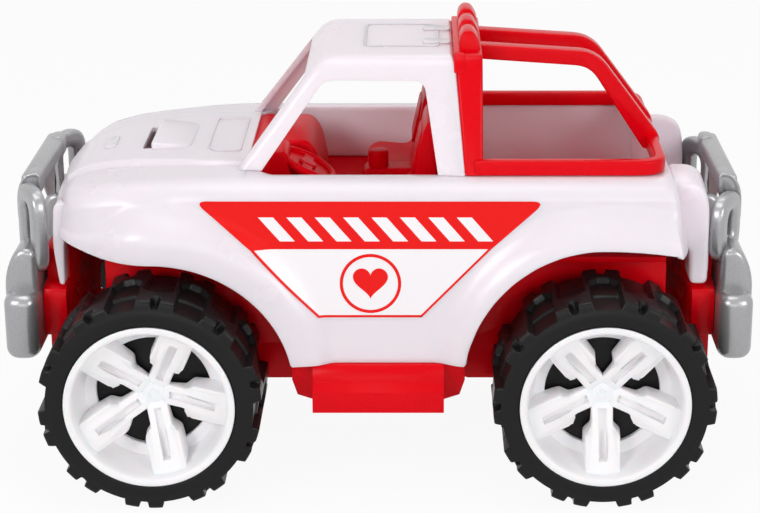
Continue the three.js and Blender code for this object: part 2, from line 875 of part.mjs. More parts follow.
// Chassis: sill box with side steps, a tower between each pair of wheels and a carrier at each end.
function chassis() {
  const boxTop = sillHeight - fitGap;
  const boxHalf = sillHalf - 0.5;
  const length = sillBoxHalfLength;
  const above = (from) => block(-noseX, noseX, -sillHalf, sillHalf, from, boxTop + 2 * overcut);
  const boxBody = (inset, top) => {
    const shape = rectangle(
      inset - length,
      length - inset,
      chassisBottom + inset,
      boxTop + overcut,
      sillBoxRound,
    );
    return cut(acrossY(shape, inset - boxHalf, boxHalf - inset), above(top));
  };
  const box = boxBody(0, boxTop);
  const boxHollow = boxBody(chassisWall, boxTop + 1);

  const stepShape = (side) =>
    rounded(
      [
        [boxHalf - 1, boxTop],
        [stepReach - stepTread - 3, boxTop],
        [stepReach - stepTread, boxTop - 3.3],
        [stepReach - stepTread + 0.3, boxTop - stepFall],
        [stepReach - 0.3, boxTop - stepFall - 3.5],
        [stepReach, stepBottom],
        [boxHalf - 2 * stepTread, stepBottom],
        [boxHalf - 2 * stepTread, chassisBottom + 1],
        [boxHalf - 1, chassisBottom + 1],
      ].map(([y, z]) => [side * y, z]),
    );
  const steps = [1, -1].map((side) => alongX(stepShape(side), -stepHalfLength, stepHalfLength, 2));

  const towerStart = sillBoxHalfLength - towerOverlap;
  const frontTowerEnd = axleX + frontTowerReach;
  const rearTowerEnd = tailX - wall - 1;
  const frontTowerTop = deckHeight - deckThickness - fitGap;
  const rearTowerTop = bedFloor - deckThickness - fitGap;
  const tower = (x0, x1, top) =>
    acrossY(rectangle(x0, x1, chassisBottom, top, bossRadius), -towerHalf, towerHalf, 2);
  const towerHollow = (x0, x1, top) =>
    block(x0 + chassisWall, x1 - chassisWall, -towerHalf + chassisWall, towerHalf - chassisWall,
      chassisBottom - 1, top - chassisWall);
  const link = (x0, x1) =>
    block(x0, x1, -towerHalf * 0.7, towerHalf * 0.7, chassisBottom, chassisBottom + linkHeight);

  const carrierBack = carrierX - carrierThickness;
  const carrier = (sign) => {
    const spanX = sign > 0 ? [carrierBack, carrierX] : [-carrierX, -carrierBack];
    const low = rectangle(-carrierHalf, carrierHalf, carrierBottom, carrierTop, 5);
    const high = rectangle(-towerHalf * 0.8, towerHalf * 0.8, chassisBottom, noseBottom - 4, 4);
    const inner = towerHalf * 0.8 - chassisWall;
    const hollow = rectangle(-inner, inner, chassisBottom - 1, noseBottom - 4 - chassisWall);
    const [back, front] = spanX;
    return cut(
      joined(alongX(low, ...spanX, 2), alongX(high, ...spanX, 2)),
      alongX(hollow, back + chassisWall, front - chassisWall),
    );
  };

  const bossLength = tyreInner + hubSetback - fitGap * 2;
  const bosses = [axleX, -axleX].flatMap((x) =>
    [1, -1].map((side) => {
      const inner = side > 0 ? towerHalf - bossDepth : -bossLength;
      const outer = side > 0 ? bossLength : bossDepth - towerHalf;
      const boss = new THREE.CylinderGeometry(bossRadius, bossRadius, outer - inner, smallSegments);
      return solid(boss.translate(x, (inner + outer) / 2, axleHeight));
    }),
  );
  const bores = [axleX, -axleX].map((x) => {
    const boreRadius = axleRadius + fitGap;
    const bore = new THREE.CylinderGeometry(boreRadius, boreRadius, overTyres, smallSegments);
    return solid(bore.translate(x, 0, axleHeight));
  });
  const pegHoles = [1, -1].flatMap((sign) =>
    [1, -1].map((side) => pegAt(sign, side, pegRadius + fitGap, carrierBack - 1, carrierX + 1)),
  );
  const seats = atLegs((x, y) => postAt(x, y, legRadius + 2, chassisBottom, legBottom - fitGap));
  const headSinks = atLegs((x, y) =>
    postAt(x, y, screwHeadRadius + fitGap, chassisBottom - 1, chassisBottom + screwHeadHeight + 1.5),
  );
  const shankHoles = atLegs((x, y) => postAt(x, y, screwRadius + fitGap, chassisBottom, legBottom + 1));

  const hollowBody = cut(
    joined(
      box,
      ...steps,
      tower(towerStart, frontTowerEnd, frontTowerTop),
      tower(-rearTowerEnd, -towerStart, rearTowerTop),
    ),
    boxHollow,
    towerHollow(sillBoxHalfLength, frontTowerEnd, frontTowerTop),
    towerHollow(-rearTowerEnd, -sillBoxHalfLength, rearTowerTop),
  );
  return cut(
    joined(
      hollowBody,
      link(frontTowerEnd - towerOverlap, carrierBack + 1),
      link(-carrierBack - 1, towerOverlap - rearTowerEnd),
      carrier(1),
      carrier(-1),
      ...bosses,
      ...seats,
    ),
    ...bores, ...pegHoles, ...headSinks, ...shankHoles,
  );
}

function pegAt(sign, side, radius, from, to) {
  const peg = new THREE.CylinderGeometry(radius, radius, to - from, smallSegments);
  const height = (carrierBottom + carrierTop) / 2;
  return solid(
    peg.rotateZ(Math.PI / 2).translate((sign * (from + to)) / 2, (side * pegSpacing) / 2, height),
  );
}

function screw(x, y) {
  const headTop = screwHeadFoot + screwHeadHeight;
  return joined(
    postAt(x, y, screwHeadRadius, screwHeadFoot, headTop),
    postAt(x, y, screwRadius, headTop - 1, screwTip),
  );
}

// Bumper guard, made at the front: a thick lower bar with a shoulder at each side, two uprights,
// a cross bar and a ring-shaped ear that sweeps back at each side.
function bumperGuard() {
  const back = carrierX + fitGap;
  const reach = back + guardDepth;
  const section = rectangle(back, reach, guardBarBottom, guardBarTop, guardBarRound);
  const cornerX = reach - guardDepth * 0.3;
  const straight = guardBarHalf - guardBarSweep;
  const plan = rounded(
    [
      [back, -guardBarHalf],
      [cornerX, -guardBarHalf],
      [reach, -straight],
      [reach, straight],
      [cornerX, guardBarHalf],
      [back, guardBarHalf],
    ],
    guardBarRound,
  );
  const bar = acrossY(section, -guardBarHalf, guardBarHalf).intersect(
    upZ(plan, guardBarBottom, guardBarTop, 2),
  );
  const uprightInner = (guardUprightSpacing - guardUprightWidth) / 2;
  const uprightOuter = (guardUprightSpacing + guardUprightWidth) / 2;
  const shoulderBack = back + guardShoulderSetback;
  const shoulder = rounded(
    [
      [shoulderBack, guardBarTop - 4],
      [reach - 1, guardBarTop - 4],
      [reach - 1, guardShoulderTop - guardTube * 0.7],
      [reach - 4, guardShoulderTop],
      [shoulderBack, guardShoulderTop],
    ],
    3,
  );
  const tubeBack = Math.max(noseX, carrierX) + guardStandoff;
  const tubeFront = Math.max(reach - 2, tubeBack + guardTube);
  const upright = rounded(
    [
      [shoulderBack + 1, guardShoulderTop - 4],
      [reach - 5, guardShoulderTop - 4],
      [tubeFront, guardShoulderTop + guardTube * 0.6],
      [tubeFront, guardTop - guardTube * 0.8],
      [tubeFront - guardTube * 0.6, guardTop],
      [tubeBack, guardTop],
      [tubeBack, guardTop - guardTube],
      [tubeBack + 3, guardTop - guardTube * 1.3],
    ],
    3,
  );
  const crossBar = acrossY(
    rectangle(tubeBack, tubeBack + guardTube * 0.9, guardTop - guardTube, guardTop, guardTube / 4),
    1 - uprightOuter,
    uprightOuter - 1,
  );
  const earFrom = uprightOuter - guardUprightWidth / 3;
  const earTo = earFrom + earReach;
  const earTop = guardTop - earDrop;
  const earRing = rectangle(earFrom, earTo, earBottom, earTop, earRound);
  earRing.holes.push(
    rectangle(
      earFrom + earStrap,
      earTo - earStrap,
      earBottom + earStrap,
      earTop - earStrap,
      earRound - earStrap / 2,
    ),
  );
  const earX = tubeBack + guardTube * 0.65;
  const ear = alongXGeometry(earRing, -earDepth / 2, earDepth / 2, 3)
    .translate(0, -earFrom, 0)
    .rotateZ(earTurn)
    .translate(earX, earFrom, 0);
  const pegs = [1, -1].map((side) =>
    pegAt(1, side, pegRadius, carrierX - carrierThickness + 1, back + 2),
  );
  return joined(
    bar,
    bothSides(shoulder, uprightInner, guardShoulderHalf),
    bothSides(upright, uprightInner, uprightOuter),
    crossBar,
    withMirror(ear),
    ...pegs,
  );
}

// Wheels, made with the axle along Y and the outer face towards +Y.
// Each tread pair is two lugs with a narrow slot between them, then a wide recess.
const slotEdge = slotDegrees / 2;
const lugEdge = slotEdge + lugDegrees;
const lugSteps = [
  { degrees: -lugEdge - 1, level: "recess" },
  { degrees: -lugEdge, level: "lug" },
  { degrees: -slotEdge, level: "lug" },
  { degrees: 0, level: "slot" },
  { degrees: slotEdge, level: "lug" },
  { degrees: lugEdge, level: "lug" },
  { degrees: lugEdge + 1, level: "recess" },
];

function treadRing(y, recess, slot, lug, turn) {
  const ring = [];
  const radii = { recess, slot, lug };
  const pitch = 360 / treadPairs;
  for (let pair = 0; pair < treadPairs; pair++) {
    lugSteps.forEach(({ degrees, level: height }) => {
      const angle = THREE.MathUtils.degToRad(pitch * (pair + turn) + degrees);
      const radius = radii[height];
      ring.push([radius * Math.cos(angle), y, radius * Math.sin(angle)]);
    });
  }
  return ring;
}

function tyre() {
  const half = tyreWidth / 2;
  const grooves = tyreRadius - lugHeight;
  const sidewall = tyreRadius - sidewallDrop;
  const top = tyreRadius;
  const halfTread = (side, turn) => [
    treadRing(side * half, sidewall, sidewall, sidewall, turn),
    treadRing(side * (half - shoulderInset), grooves, grooves, top, turn),
    treadRing(side * recessEnd, grooves, top, top, turn),
    treadRing(side * (recessEnd - recessRamp), top, top, top, turn),
  ];
  const tread = solid(loft([...halfTread(1, 0), ...halfTread(-1, 0.5).reverse()]));
  const webFace = half - dishDepth;
  const dish = rod(rimRadius + fitGap, webFace, half + 1, roundSegments);
  const drumInner = grooves - drumWall;
  const webBack = webFace - webThickness;
  const cavity = turned([
    [hubRadius, -half - 1],
    [drumInner, -half - 1],
    [drumInner, webBack],
    [hubRadius, webBack],
    [hubRadius, -half - 1],
  ], hiddenSegments);
  const hubEnd = rod(hubRadius + 1, -half - 1, -half + hubSetback, hiddenSegments);
  return cut(tread, dish, cavity, hubEnd, rod(axleRadius + fitGap, -half - 1, half));
}

// Rim insert: a stepped lip and a dished five-spoke centre with a groove down each spoke.
function rim() {
  const face = tyreWidth / 2;
  const innerRadius = rimRadius - rimLipWidth;
  const back = face - dishDepth + fitGap;
  const lipFace = face + rimLipProud;
  const lipBack = face - dishDepth * 0.8;
  const hubFace = face - spokeHubDepth;
  const outerFace = face - spokeOuterDepth;
  const dished = turned([
    [0, back + 1],
    [hubRadius, back + 1],
    [hubRadius + 2, hubFace - spokeThickness],
    [innerRadius, outerFace - spokeThickness],
    [innerRadius, lipBack],
    [rimRadius, lipBack],
    [rimRadius, lipFace],
    [innerRadius + 1, lipFace],
    [innerRadius, lipFace - 1],
    [innerRadius, outerFace],
    [hubRadius, hubFace],
    [0, hubFace],
  ]);
  const windowShape = rounded([
    [windowFrom, 0],
    [windowWaist, windowWaistHalf],
    [windowTo, windowHalf],
    [windowCrown, 0],
    [windowTo, -windowHalf],
    [windowWaist, -windowWaistHalf],
  ].map(([along, aside]) => [along * innerRadius, aside * innerRadius]));
  const grooveShape = rectangle(
    innerRadius * grooveFrom,
    innerRadius * grooveTo,
    -grooveWidth / 2,
    grooveWidth / 2,
  );
  const tools = [];
  for (let i = 0; i < spokeCount; i++) {
    const spoke = (2 * Math.PI * i) / spokeCount + Math.PI / 2;
    const gap = spoke + Math.PI / spokeCount;
    const window = extrusion(windowShape, dishDepth + 2, 1).rotateX(Math.PI / 2);
    tools.push(solid(window.translate(0, face + 1, 0).rotateY(gap)));
    const groove = extrusion(grooveShape, spokeThickness, 1).rotateX(Math.PI / 2);
    tools.push(solid(groove.translate(0, outerFace + grooveDepth, 0).rotateY(spoke)));
  }
  return cut(dished, ...tools);
}

function axle() {
  const reach = overTyres / 2 - dishDepth - fitGap;
  return rod(axleRadius, -reach, reach);
}

// Side sticker, made flat and laid on the sloping side of the body.
function sticker(side) {
  const lean = Math.atan2(sillHalf - shoulderHalf, shoulderHeight - sillHeight);
  const top = (shoulderHeight - stickerDrop - sillHeight) / Math.cos(lean);
  const foot = top - stickerHeight / Math.cos(lean);
  const outline = rounded(
    [
      [axleX - stickerTopFrontSetback, top],
      [stickerTopRearSetback - axleX, top],
      [stickerFootRearSetback - axleX, foot],
      [axleX - stickerFootFrontSetback, foot],
    ],
    stickerRound,
  );
  const geometry = extrusion(outline, stickerThickness, 3).rotateX(Math.PI / 2);
  geometry.translate(0, stickerThickness + fitGap, 0).rotateX(lean).translate(0, sillHalf, sillHeight);
  if (side < 0) geometry.scale(1, -1, 1);
  return solid(geometry);
}

car.add(mesh("body_shell", bodyShell(), white));
car.add(mesh("cab_roof", cabRoof(), white));
car.add(mesh("roll_bar", rollBar(), red));
car.add(mesh("interior", interior(), red));
car.add(mesh("gear_knob", gearKnob(), red));
car.add(mesh("steering_wheel", steeringWheel(), red));
car.add(mesh("chassis", chassis(), red));

const guard = bumperGuard();
const frontBumper = mesh("front_bumper", guard, silver);
const rearBumper = mesh("rear_bumper", guard, silver);
rearBumper.rotation.z = Math.PI;
car.add(frontBumper, rearBumper);

const tyreBody = tyre();
const rimBody = rim();
const axleBody = axle();
for (const end of ["front", "rear"]) {
  const wheelset = new THREE.Group();
  wheelset.position.set(end === "front" ? axleX : -axleX, 0, axleHeight);
  wheelset.rotation.y = end === "front" ? frontWheelTurn : 0;
  wheelset.add(mesh(`${end}_axle`, axleBody, steel));
  for (const side of ["left", "right"]) {
    const wheel = new THREE.Group();
    wheel.position.y = ((side === "left" ? 1 : -1) * (overTyres - tyreWidth)) / 2;
    wheel.rotation.z = side === "left" ? 0 : Math.PI;
    wheel.add(mesh(`tyre_${end}_${side}`, tyreBody, black), mesh(`rim_${end}_${side}`, rimBody, rimWhite));
    wheelset.add(wheel);
  }
  car.add(wheelset);
}

atLegs((x, y) => screw(x, y)).forEach((body, i) => car.add(mesh(`screw_${i + 1}`, body, steel)));
car.add(mesh("sticker_left", sticker(1), stickerRed));
car.add(mesh("sticker_right", sticker(-1), stickerRed));

export default car;
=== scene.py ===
# %% [markdown]
# # A push-along toy ambulance
#
# The toy is a moulded off-road car with an open bed, a roll bar and four big drum wheels. This
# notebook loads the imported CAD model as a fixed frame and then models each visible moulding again
# with soft edges, real wall thickness and its own finish. Sizes are in millimetres and are turned
# into metres where they meet the mesh.

import json
import math

import bpy
import numpy as np
from mathutils import Matrix, Vector

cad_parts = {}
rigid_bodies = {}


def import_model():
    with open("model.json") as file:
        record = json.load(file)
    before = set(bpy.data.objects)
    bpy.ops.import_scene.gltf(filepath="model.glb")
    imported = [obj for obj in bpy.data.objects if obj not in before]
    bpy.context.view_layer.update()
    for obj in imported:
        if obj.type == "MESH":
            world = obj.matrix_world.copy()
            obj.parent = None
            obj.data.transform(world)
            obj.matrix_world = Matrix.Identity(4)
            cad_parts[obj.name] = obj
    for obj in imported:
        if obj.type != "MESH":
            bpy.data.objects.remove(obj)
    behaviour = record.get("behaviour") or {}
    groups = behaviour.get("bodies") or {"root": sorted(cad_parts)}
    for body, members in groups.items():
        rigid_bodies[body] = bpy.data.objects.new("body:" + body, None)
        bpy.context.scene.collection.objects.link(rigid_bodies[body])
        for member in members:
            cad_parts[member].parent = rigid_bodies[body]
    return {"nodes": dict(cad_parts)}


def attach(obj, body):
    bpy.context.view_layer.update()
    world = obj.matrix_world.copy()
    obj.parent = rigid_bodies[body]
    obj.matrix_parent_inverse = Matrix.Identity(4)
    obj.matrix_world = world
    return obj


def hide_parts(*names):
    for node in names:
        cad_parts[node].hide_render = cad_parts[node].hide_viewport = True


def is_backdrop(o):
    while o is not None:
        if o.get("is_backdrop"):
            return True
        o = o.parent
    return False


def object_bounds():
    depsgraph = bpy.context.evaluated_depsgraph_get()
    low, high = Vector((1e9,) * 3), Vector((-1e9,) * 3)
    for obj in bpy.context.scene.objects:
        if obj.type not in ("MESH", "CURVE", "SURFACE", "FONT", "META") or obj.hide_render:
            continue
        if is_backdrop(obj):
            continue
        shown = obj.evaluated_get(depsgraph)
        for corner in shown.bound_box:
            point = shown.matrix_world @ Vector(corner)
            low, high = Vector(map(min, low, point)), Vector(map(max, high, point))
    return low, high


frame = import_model()
size_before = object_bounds()
mm = 0.001

# %% [markdown]
# ## Sizes that several pieces share
#
# The wheels stand 211 mm apart and carry tyres 104 mm across. The waist of the body is 150 mm above
# the ground and everything in the cab is measured from it, so these few numbers tie the pieces
# together.

# %% Shared sizes
axle_x = 105.5
axle_z = 52.0
tyre_radius = 52.0
tyre_middle = 86.5
front_turn = math.radians(13)
waist_z = 150.0
shoulder_z = 142.0
sill_z = 63.0
sill_half = 82.0
shoulder_half = 77.0
waist_half = 67.0
flare_half = 88.0
nose_x = 160.0
tail_x = 145.5
wall = 3.0
roof_z = 202.3
seam = 0.3

# %% [markdown]
# ## Small tools
#
# Most of the toy's bars and plates are flat outlines carried along one axis. Each starts as a filled
# circle with as many corners as the outline has, is set to the outline, and is then extruded. Edges
# are softened by a bevel modifier, because a moulded edge always has a small radius that catches
# the light.

# %% Tools for outlines, bevels and joins
axis_order = {"x": (1, 2, 0), "y": (0, 2, 1), "z": (0, 1, 2)}


def start_fresh():
    """Object mode with nothing selected."""
    if bpy.context.object and bpy.context.object.mode != "OBJECT":
        bpy.ops.object.mode_set(mode="OBJECT")
    bpy.ops.object.select_all(action="DESELECT")


def only(piece):
    """That piece alone is selected and active."""
    start_fresh()
    piece.select_set(True)
    bpy.context.view_layer.objects.active = piece
    return piece


def named(piece, name):
    piece.name = name
    piece.data.name = name
    return piece


def at(axis, a, b, along):
    """A point from its place in an outline and its place along the axis, in metres."""
    first, second, third = axis_order[axis]
    spot = [0.0, 0.0, 0.0]
    spot[first] = a * mm
    spot[second] = b * mm
    spot[third] = along * mm
    return spot


def settle(piece):
    """Doubled points merged and faces turned outwards."""
    only(piece)
    bpy.ops.object.mode_set(mode="EDIT")
    bpy.ops.mesh.select_all(action="SELECT")
    bpy.ops.mesh.remove_doubles(threshold=1e-6)
    bpy.ops.mesh.normals_make_consistent(inside=False)
    bpy.ops.object.mode_set(mode="OBJECT")
    return piece


def plate(name, points, low, high, axis):
    """An outline in millimetres, carried from low to high along an axis."""
    start_fresh()
    bpy.ops.mesh.primitive_circle_add(vertices=len(points), radius=0.01, fill_type="NGON")
    piece = named(bpy.context.object, name)
    for vertex, (a, b) in zip(piece.data.vertices, points):
        vertex.co = at(axis, a, b, low)
    bpy.ops.object.mode_set(mode="EDIT")
    bpy.ops.mesh.select_all(action="SELECT")
    reach = Vector(at(axis, 0, 0, high - low))
    bpy.ops.mesh.extrude_region_move(TRANSFORM_OT_translate={"value": reach})
    bpy.ops.object.mode_set(mode="OBJECT")
    return settle(piece)


def rounded(points, radius, steps=5):
    """The outline with each corner drawn round; radius is one number or one for each corner."""
    count = len(points)
    radii = [radius] * count if np.isscalar(radius) else radius
    result = []
    for i, point in enumerate(points):
        corner = np.array(point, float)
        before = np.array(points[i - 1], float) - corner
        after = np.array(points[(i + 1) % count], float) - corner
        reach_in = min(radii[i], 0.48 * np.linalg.norm(before))
        reach_out = min(radii[i], 0.48 * np.linalg.norm(after))
        if reach_in < 0.01 or reach_out < 0.01:
            result.append(tuple(corner))
            continue
        start = corner + before / np.linalg.norm(before) * reach_in
        end = corner + after / np.linalg.norm(after) * reach_out
        for k in range(steps + 1):
            t = k / steps
            spot = (1 - t) ** 2 * start + 2 * t * (1 - t) * corner + t ** 2 * end
            result.append(tuple(spot))
    return result


def rectangle(a0, a1, b0, b1):
    return [(a0, b0), (a1, b0), (a1, b1), (a0, b1)]


def apply(piece, kind, **settings):
    """A modifier added with these settings and applied at once."""
    only(piece)
    modifier = piece.modifiers.new(kind.title(), kind)
    for key, value in settings.items():
        setattr(modifier, key, value)
    bpy.ops.object.modifier_apply(modifier=modifier.name)
    return piece


def smooth(piece, degrees=35):
    only(piece)
    bpy.ops.object.shade_smooth_by_angle(angle=math.radians(degrees))
    return piece


def soften(piece, width, segments=3, degrees=40):
    """Edges sharper than the angle get a small radius."""
    apply(
        piece,
        "BEVEL",
        width=width * mm,
        segments=segments,
        limit_method="ANGLE",
        angle_limit=math.radians(degrees),
        use_clamp_overlap=True,
        harden_normals=False,
    )
    return smooth(piece)


def joined(name, pieces):
    """Several meshes as one piece."""
    only(pieces[0])
    for piece in pieces[1:]:
        piece.select_set(True)
    if len(pieces) > 1:
        bpy.ops.object.join()
    return named(bpy.context.object, name)


def copy_of(piece, name):
    only(piece)
    bpy.ops.object.duplicate(linked=False)
    return named(bpy.context.object, name)


def moved(piece, matrix):
    """The change of place goes into the mesh, so the object stays at the origin."""
    piece.data.transform(matrix)
    if matrix.determinant() < 0:
        piece.data.flip_normals()
    piece.data.update()
    return piece


def mirrored(piece, name):
    """A copy on the other side of the car."""
    return moved(copy_of(piece, name), Matrix.Scale(-1, 4, Vector((0, 1, 0))))


def cut(piece, cutter):
    """The cutter's space is taken out of the piece."""
    apply(piece, "BOOLEAN", object=cutter, operation="DIFFERENCE", solver="EXACT")
    bpy.data.objects.remove(cutter)
    return piece


def grid(name, points):
    """A grid of quads laid through rows of points in millimetres, [row][column][xyz]."""
    points = np.asarray(points, float)
    rows, columns = points.shape[0], points.shape[1]
    start_fresh()
    bpy.ops.mesh.primitive_grid_add(x_subdivisions=columns - 1, y_subdivisions=rows - 1, size=0.1)
    piece = named(bpy.context.object, name)
    piece.data.vertices.foreach_set("co", (points.reshape(-1, 3) * mm).ravel())
    piece.data.update()
    return piece


def finished(piece, body, slot, material, *nodes):
    """The piece rides on its body, takes its finish, and stands for CAD nodes; the slot is not used."""
    piece.data.materials.clear()
    piece.data.materials.append(material)
    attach(piece, body)
    if nodes:
        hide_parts(*nodes)
    count = sum(len(polygon.vertices) - 2 for polygon in piece.data.polygons)
    print(piece.name, "triangles", count)
    return piece


# %% [markdown]
# ## Finishes
#
# The body is white plastic that lets a little light in, so it gets a small subsurface amount and a
# clear gloss. The red mouldings are solid coloured gloss plastic. The guards are grey plastic with
# metal flake, the tyres satin black and the rims a drier white. Every finish has a fine bump, as a
# polished mould is never perfectly flat, and a slow change of roughness.


# %% Material builder
def filled(node, **values):
    """A shader node with some of its inputs set; a name's spaces are written as underscores."""
    for key, value in values.items():
        node.inputs[key.replace("_", " ")].default_value = value
    return node


def added(tree, kind, **values):
    """A new shader node in the tree."""
    return filled(tree.nodes.new("ShaderNode" + kind), **values)


def finish(name, colour, rough, rough_change, bump_scale, bump_height, **inputs):
    """A plastic: one colour, roughness that wanders a little and a fine moulded bump."""
    material = bpy.data.materials.new(name)
    material.use_nodes = True
    tree = material.node_tree
    link = tree.links.new
    shader = filled(tree.nodes["Principled BSDF"], Base_Color=(*colour, 1), **inputs)
    place = added(tree, "TexCoord")
    wander = added(tree, "TexNoise", Scale=28, Detail=3)
    spread = added(tree, "MapRange", To_Min=rough - rough_change, To_Max=rough + rough_change)
    grain = added(tree, "TexNoise", Scale=bump_scale, Detail=4)
    bump = added(tree, "Bump", Strength=0.5, Distance=bump_height * mm)
    link(place.outputs["Object"], wander.inputs["Vector"])
    link(wander.outputs["Fac"], spread.inputs["Value"])
    link(spread.outputs["Result"], shader.inputs["Roughness"])
    link(place.outputs["Object"], grain.inputs["Vector"])
    link(grain.outputs["Fac"], bump.inputs["Height"])
    link(bump.outputs["Normal"], shader.inputs["Normal"])
    return material


body_white = finish(
    "body_white", (0.89, 0.80, 0.865), 0.26, 0.04, 90, 0.05,
    Subsurface_Weight=0.5, Subsurface_Scale=0.008, Subsurface_Radius=(1, 0.8, 0.8),
    Specular_IOR_Level=0.45,
)
trim_red = finish("trim_red", (0.74, 0.0, 0.006), 0.27, 0.05, 80, 0.1, Specular_IOR_Level=0.12)
# The cab's inside takes a darker copy of the trim red with less gloss: painted shade for the inside of the
# cab.
cab_red_painted_shade = finish("cab_red_painted_shade", (0.68, 0.0, 0.006), 0.34, 0.05, 80, 0.1, Specular_IOR_Level=0.05)
guard_silver = finish("guard_silver", (0.39, 0.39, 0.4), 0.3, 0.05, 1800, 0.02, Metallic=0.6)
tyre_black = finish("tyre_black", (0.009, 0.0085, 0.009), 0.33, 0.06, 900, 0.05, Specular_IOR_Level=0.18)
rim_white = finish(
    "rim_white", (0.92, 0.905, 0.92), 0.38, 0.05, 300, 0.06,
    Subsurface_Weight=0.15, Subsurface_Scale=0.003,
)
steel = finish("steel", (0.62, 0.63, 0.64), 0.3, 0.06, 1200, 0.02, Metallic=1.0)
sticker_white = finish("sticker_white", (0.92, 0.885, 0.91), 0.3, 0.03, 150, 0.05)
sticker_red = finish(
    "sticker_red", (0.84, 0.009, 0.008), 0.32, 0.03, 150, 0.05, Specular_IOR_Level=0.15,
)
print("materials", len(bpy.data.materials))

# %% [markdown]
# Flake in the guards' grey is small bright and dark specks. A fine cell pattern shifts the base
# colour by a few parts in a hundred.

# %% Flake in the silver
dark_flake = (0.34, 0.34, 0.35, 1)
bright_flake = (0.43, 0.43, 0.44, 1)
tree = guard_silver.node_tree
cells = added(tree, "TexVoronoi", Scale=2600)
where = added(tree, "TexCoord")
flake = added(tree, "Mix")
flake.data_type = "RGBA"
flake.inputs[6].default_value = dark_flake
flake.inputs[7].default_value = bright_flake
tree.links.new(where.outputs["Object"], cells.inputs["Vector"])
tree.links.new(cells.outputs["Color"], flake.inputs[0])
tree.links.new(flake.outputs[2], tree.nodes["Principled BSDF"].inputs["Base Color"])
print("flake from", dark_flake[:3], "to", bright_flake[:3])

# %% [markdown]
# ## Stage, light and camera
#
# The toy stands on a pale floor under a large soft lamp above and two at the near corners, so the
# glossy mouldings get broad gentle highlights. A low lamp lights the cab through its windows, and one
# on the far side keeps that side from going grey. The white of the background isn't more light on
# the toy: the floor and the world only look white to the camera, in reflections and through glass.


# %% Floor
def seen_rays(tree):
    """One for a ray from the camera, a reflection or glass, and nothing for plain light."""
    rays = added(tree, "LightPath")
    result = rays.outputs["Is Camera Ray"]
    for name in ("Is Transmission Ray", "Is Glossy Ray"):
        either = added(tree, "Math")
        either.operation = "MAXIMUM"
        tree.links.new(result, either.inputs[0])
        tree.links.new(rays.outputs[name], either.inputs[1])
        result = either.outputs[0]
    return result


floor_glow = 0.93
start_fresh()
bpy.ops.mesh.primitive_plane_add(size=6, location=(0, 0, 0))
floor = named(bpy.context.object, "floor")
floor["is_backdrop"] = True
floor_paint = bpy.data.materials.new("floor_paint")
floor_paint.use_nodes = True
tree = floor_paint.node_tree
link = tree.links.new
paint = tree.nodes["Principled BSDF"]
filled(paint, Base_Color=(0.86, 0.86, 0.86, 1), Roughness=0.9, Specular_IOR_Level=0.1)
glow = added(tree, "Emission", Color=(1, 1, 1, 1))
blend = added(tree, "MixShader")
share = added(tree, "Math")
share.operation = "MULTIPLY"
share.inputs[1].default_value = floor_glow
link(seen_rays(tree), share.inputs[0])
link(share.outputs[0], blend.inputs[0])
link(paint.outputs["BSDF"], blend.inputs[1])
link(glow.outputs["Emission"], blend.inputs[2])
link(blend.outputs[0], tree.nodes["Material Output"].inputs["Surface"])
floor.data.materials.append(floor_paint)
print("floor white to the camera by", floor_glow)

# %% [markdown]
# The world gives a little even light from all round, as a light tent does.

# %% World
room_light = 0.3
world = bpy.data.worlds.new("studio")
bpy.context.scene.world = world
world.use_nodes = True
tree = world.node_tree
tree.nodes.clear()
link = tree.links.new
plain = added(tree, "Background", Color=(1, 1, 1, 1), Strength=room_light)
white = added(tree, "Background", Color=(1, 1, 1, 1), Strength=1.0)
choose = added(tree, "MixShader")
out = added(tree, "OutputWorld")
link(seen_rays(tree), choose.inputs[0])
link(plain.outputs[0], choose.inputs[1])
link(white.outputs[0], choose.inputs[2])
link(choose.outputs[0], out.inputs["Surface"])
print("world light", room_light)

# %% [markdown]
# The lamps are rectangles of light. A large lamp near a small toy gives shadows with soft edges.


# %% Lamps
def lamp(name, place, target, width, height, power):
    start_fresh()
    bpy.ops.object.light_add(type="AREA", location=place)
    light = bpy.context.object
    light.name = name
    light.data.shape = "RECTANGLE"
    light.data.size = width
    light.data.size_y = height
    light.data.energy = power
    aim = Vector(target) - Vector(place)
    light.rotation_euler = aim.to_track_quat("-Z", "Y").to_euler()


toy_middle = (0, 0, 0.1)
lamp("top_lamp", (0.1, 0.1, 1.3), toy_middle, 0.8, 0.6, 4.0)
lamp("front_lamp", (0.95, 1.15, 0.8), toy_middle, 0.6, 0.6, 8.6)
lamp("rear_lamp", (-1.05, 1.1, 0.65), toy_middle, 0.6, 0.6, 7.0)
lamp("low_lamp", (0.05, 1.75, 0.42), (0, 0, 0.12), 1.0, 0.5, 2.6)
lamp("far_lamp", (-0.3, -1.1, 1.7), toy_middle, 0.8, 0.6, 3.5)
print("lamps", len(bpy.data.lights))

# %% [markdown]
# The camera looks at the left side from about a metre away and a little above, with the long lens of
# a product picture. The small shift frames the toy without turning the camera.

# %% Camera
camera_place = (-0.01963, 0.96428, 0.42733)
camera_tilt = math.radians(17.564)
start_fresh()
bpy.ops.object.camera_add(location=camera_place)
camera = bpy.context.object
camera.rotation_euler = (math.pi / 2 - camera_tilt, 0, math.pi)
camera.data.sensor_width = 36
camera.data.lens = 95.18
camera.data.shift_x = -0.0524
camera.data.shift_y = -0.0858
bpy.context.scene.camera = camera
bpy.context.scene.view_settings.view_transform = "Standard"
print("camera at", camera_place)

# %% [markdown]
# ## Body shell
#
# The white body is one thin injection moulding: sides that lean in, a soft shoulder, flared arches
# that start at the sill and sweep out to the ends, and a bonnet with a slightly raised middle. It is
# laid as a grid of quads over one half. Each column runs from the lower edge (the sill, an arch lip or the
# end walls) up to the shoulder line, so the quads follow the arches, and the flare is a smooth swell
# added by the distance from the lip. A mirror makes the other half and solidify gives the wall.


# %% Lines of the body
def ease(low, high, x):
    t = np.clip((x - low) / (high - low), 0, 1)
    return t * t * (3 - 2 * t)


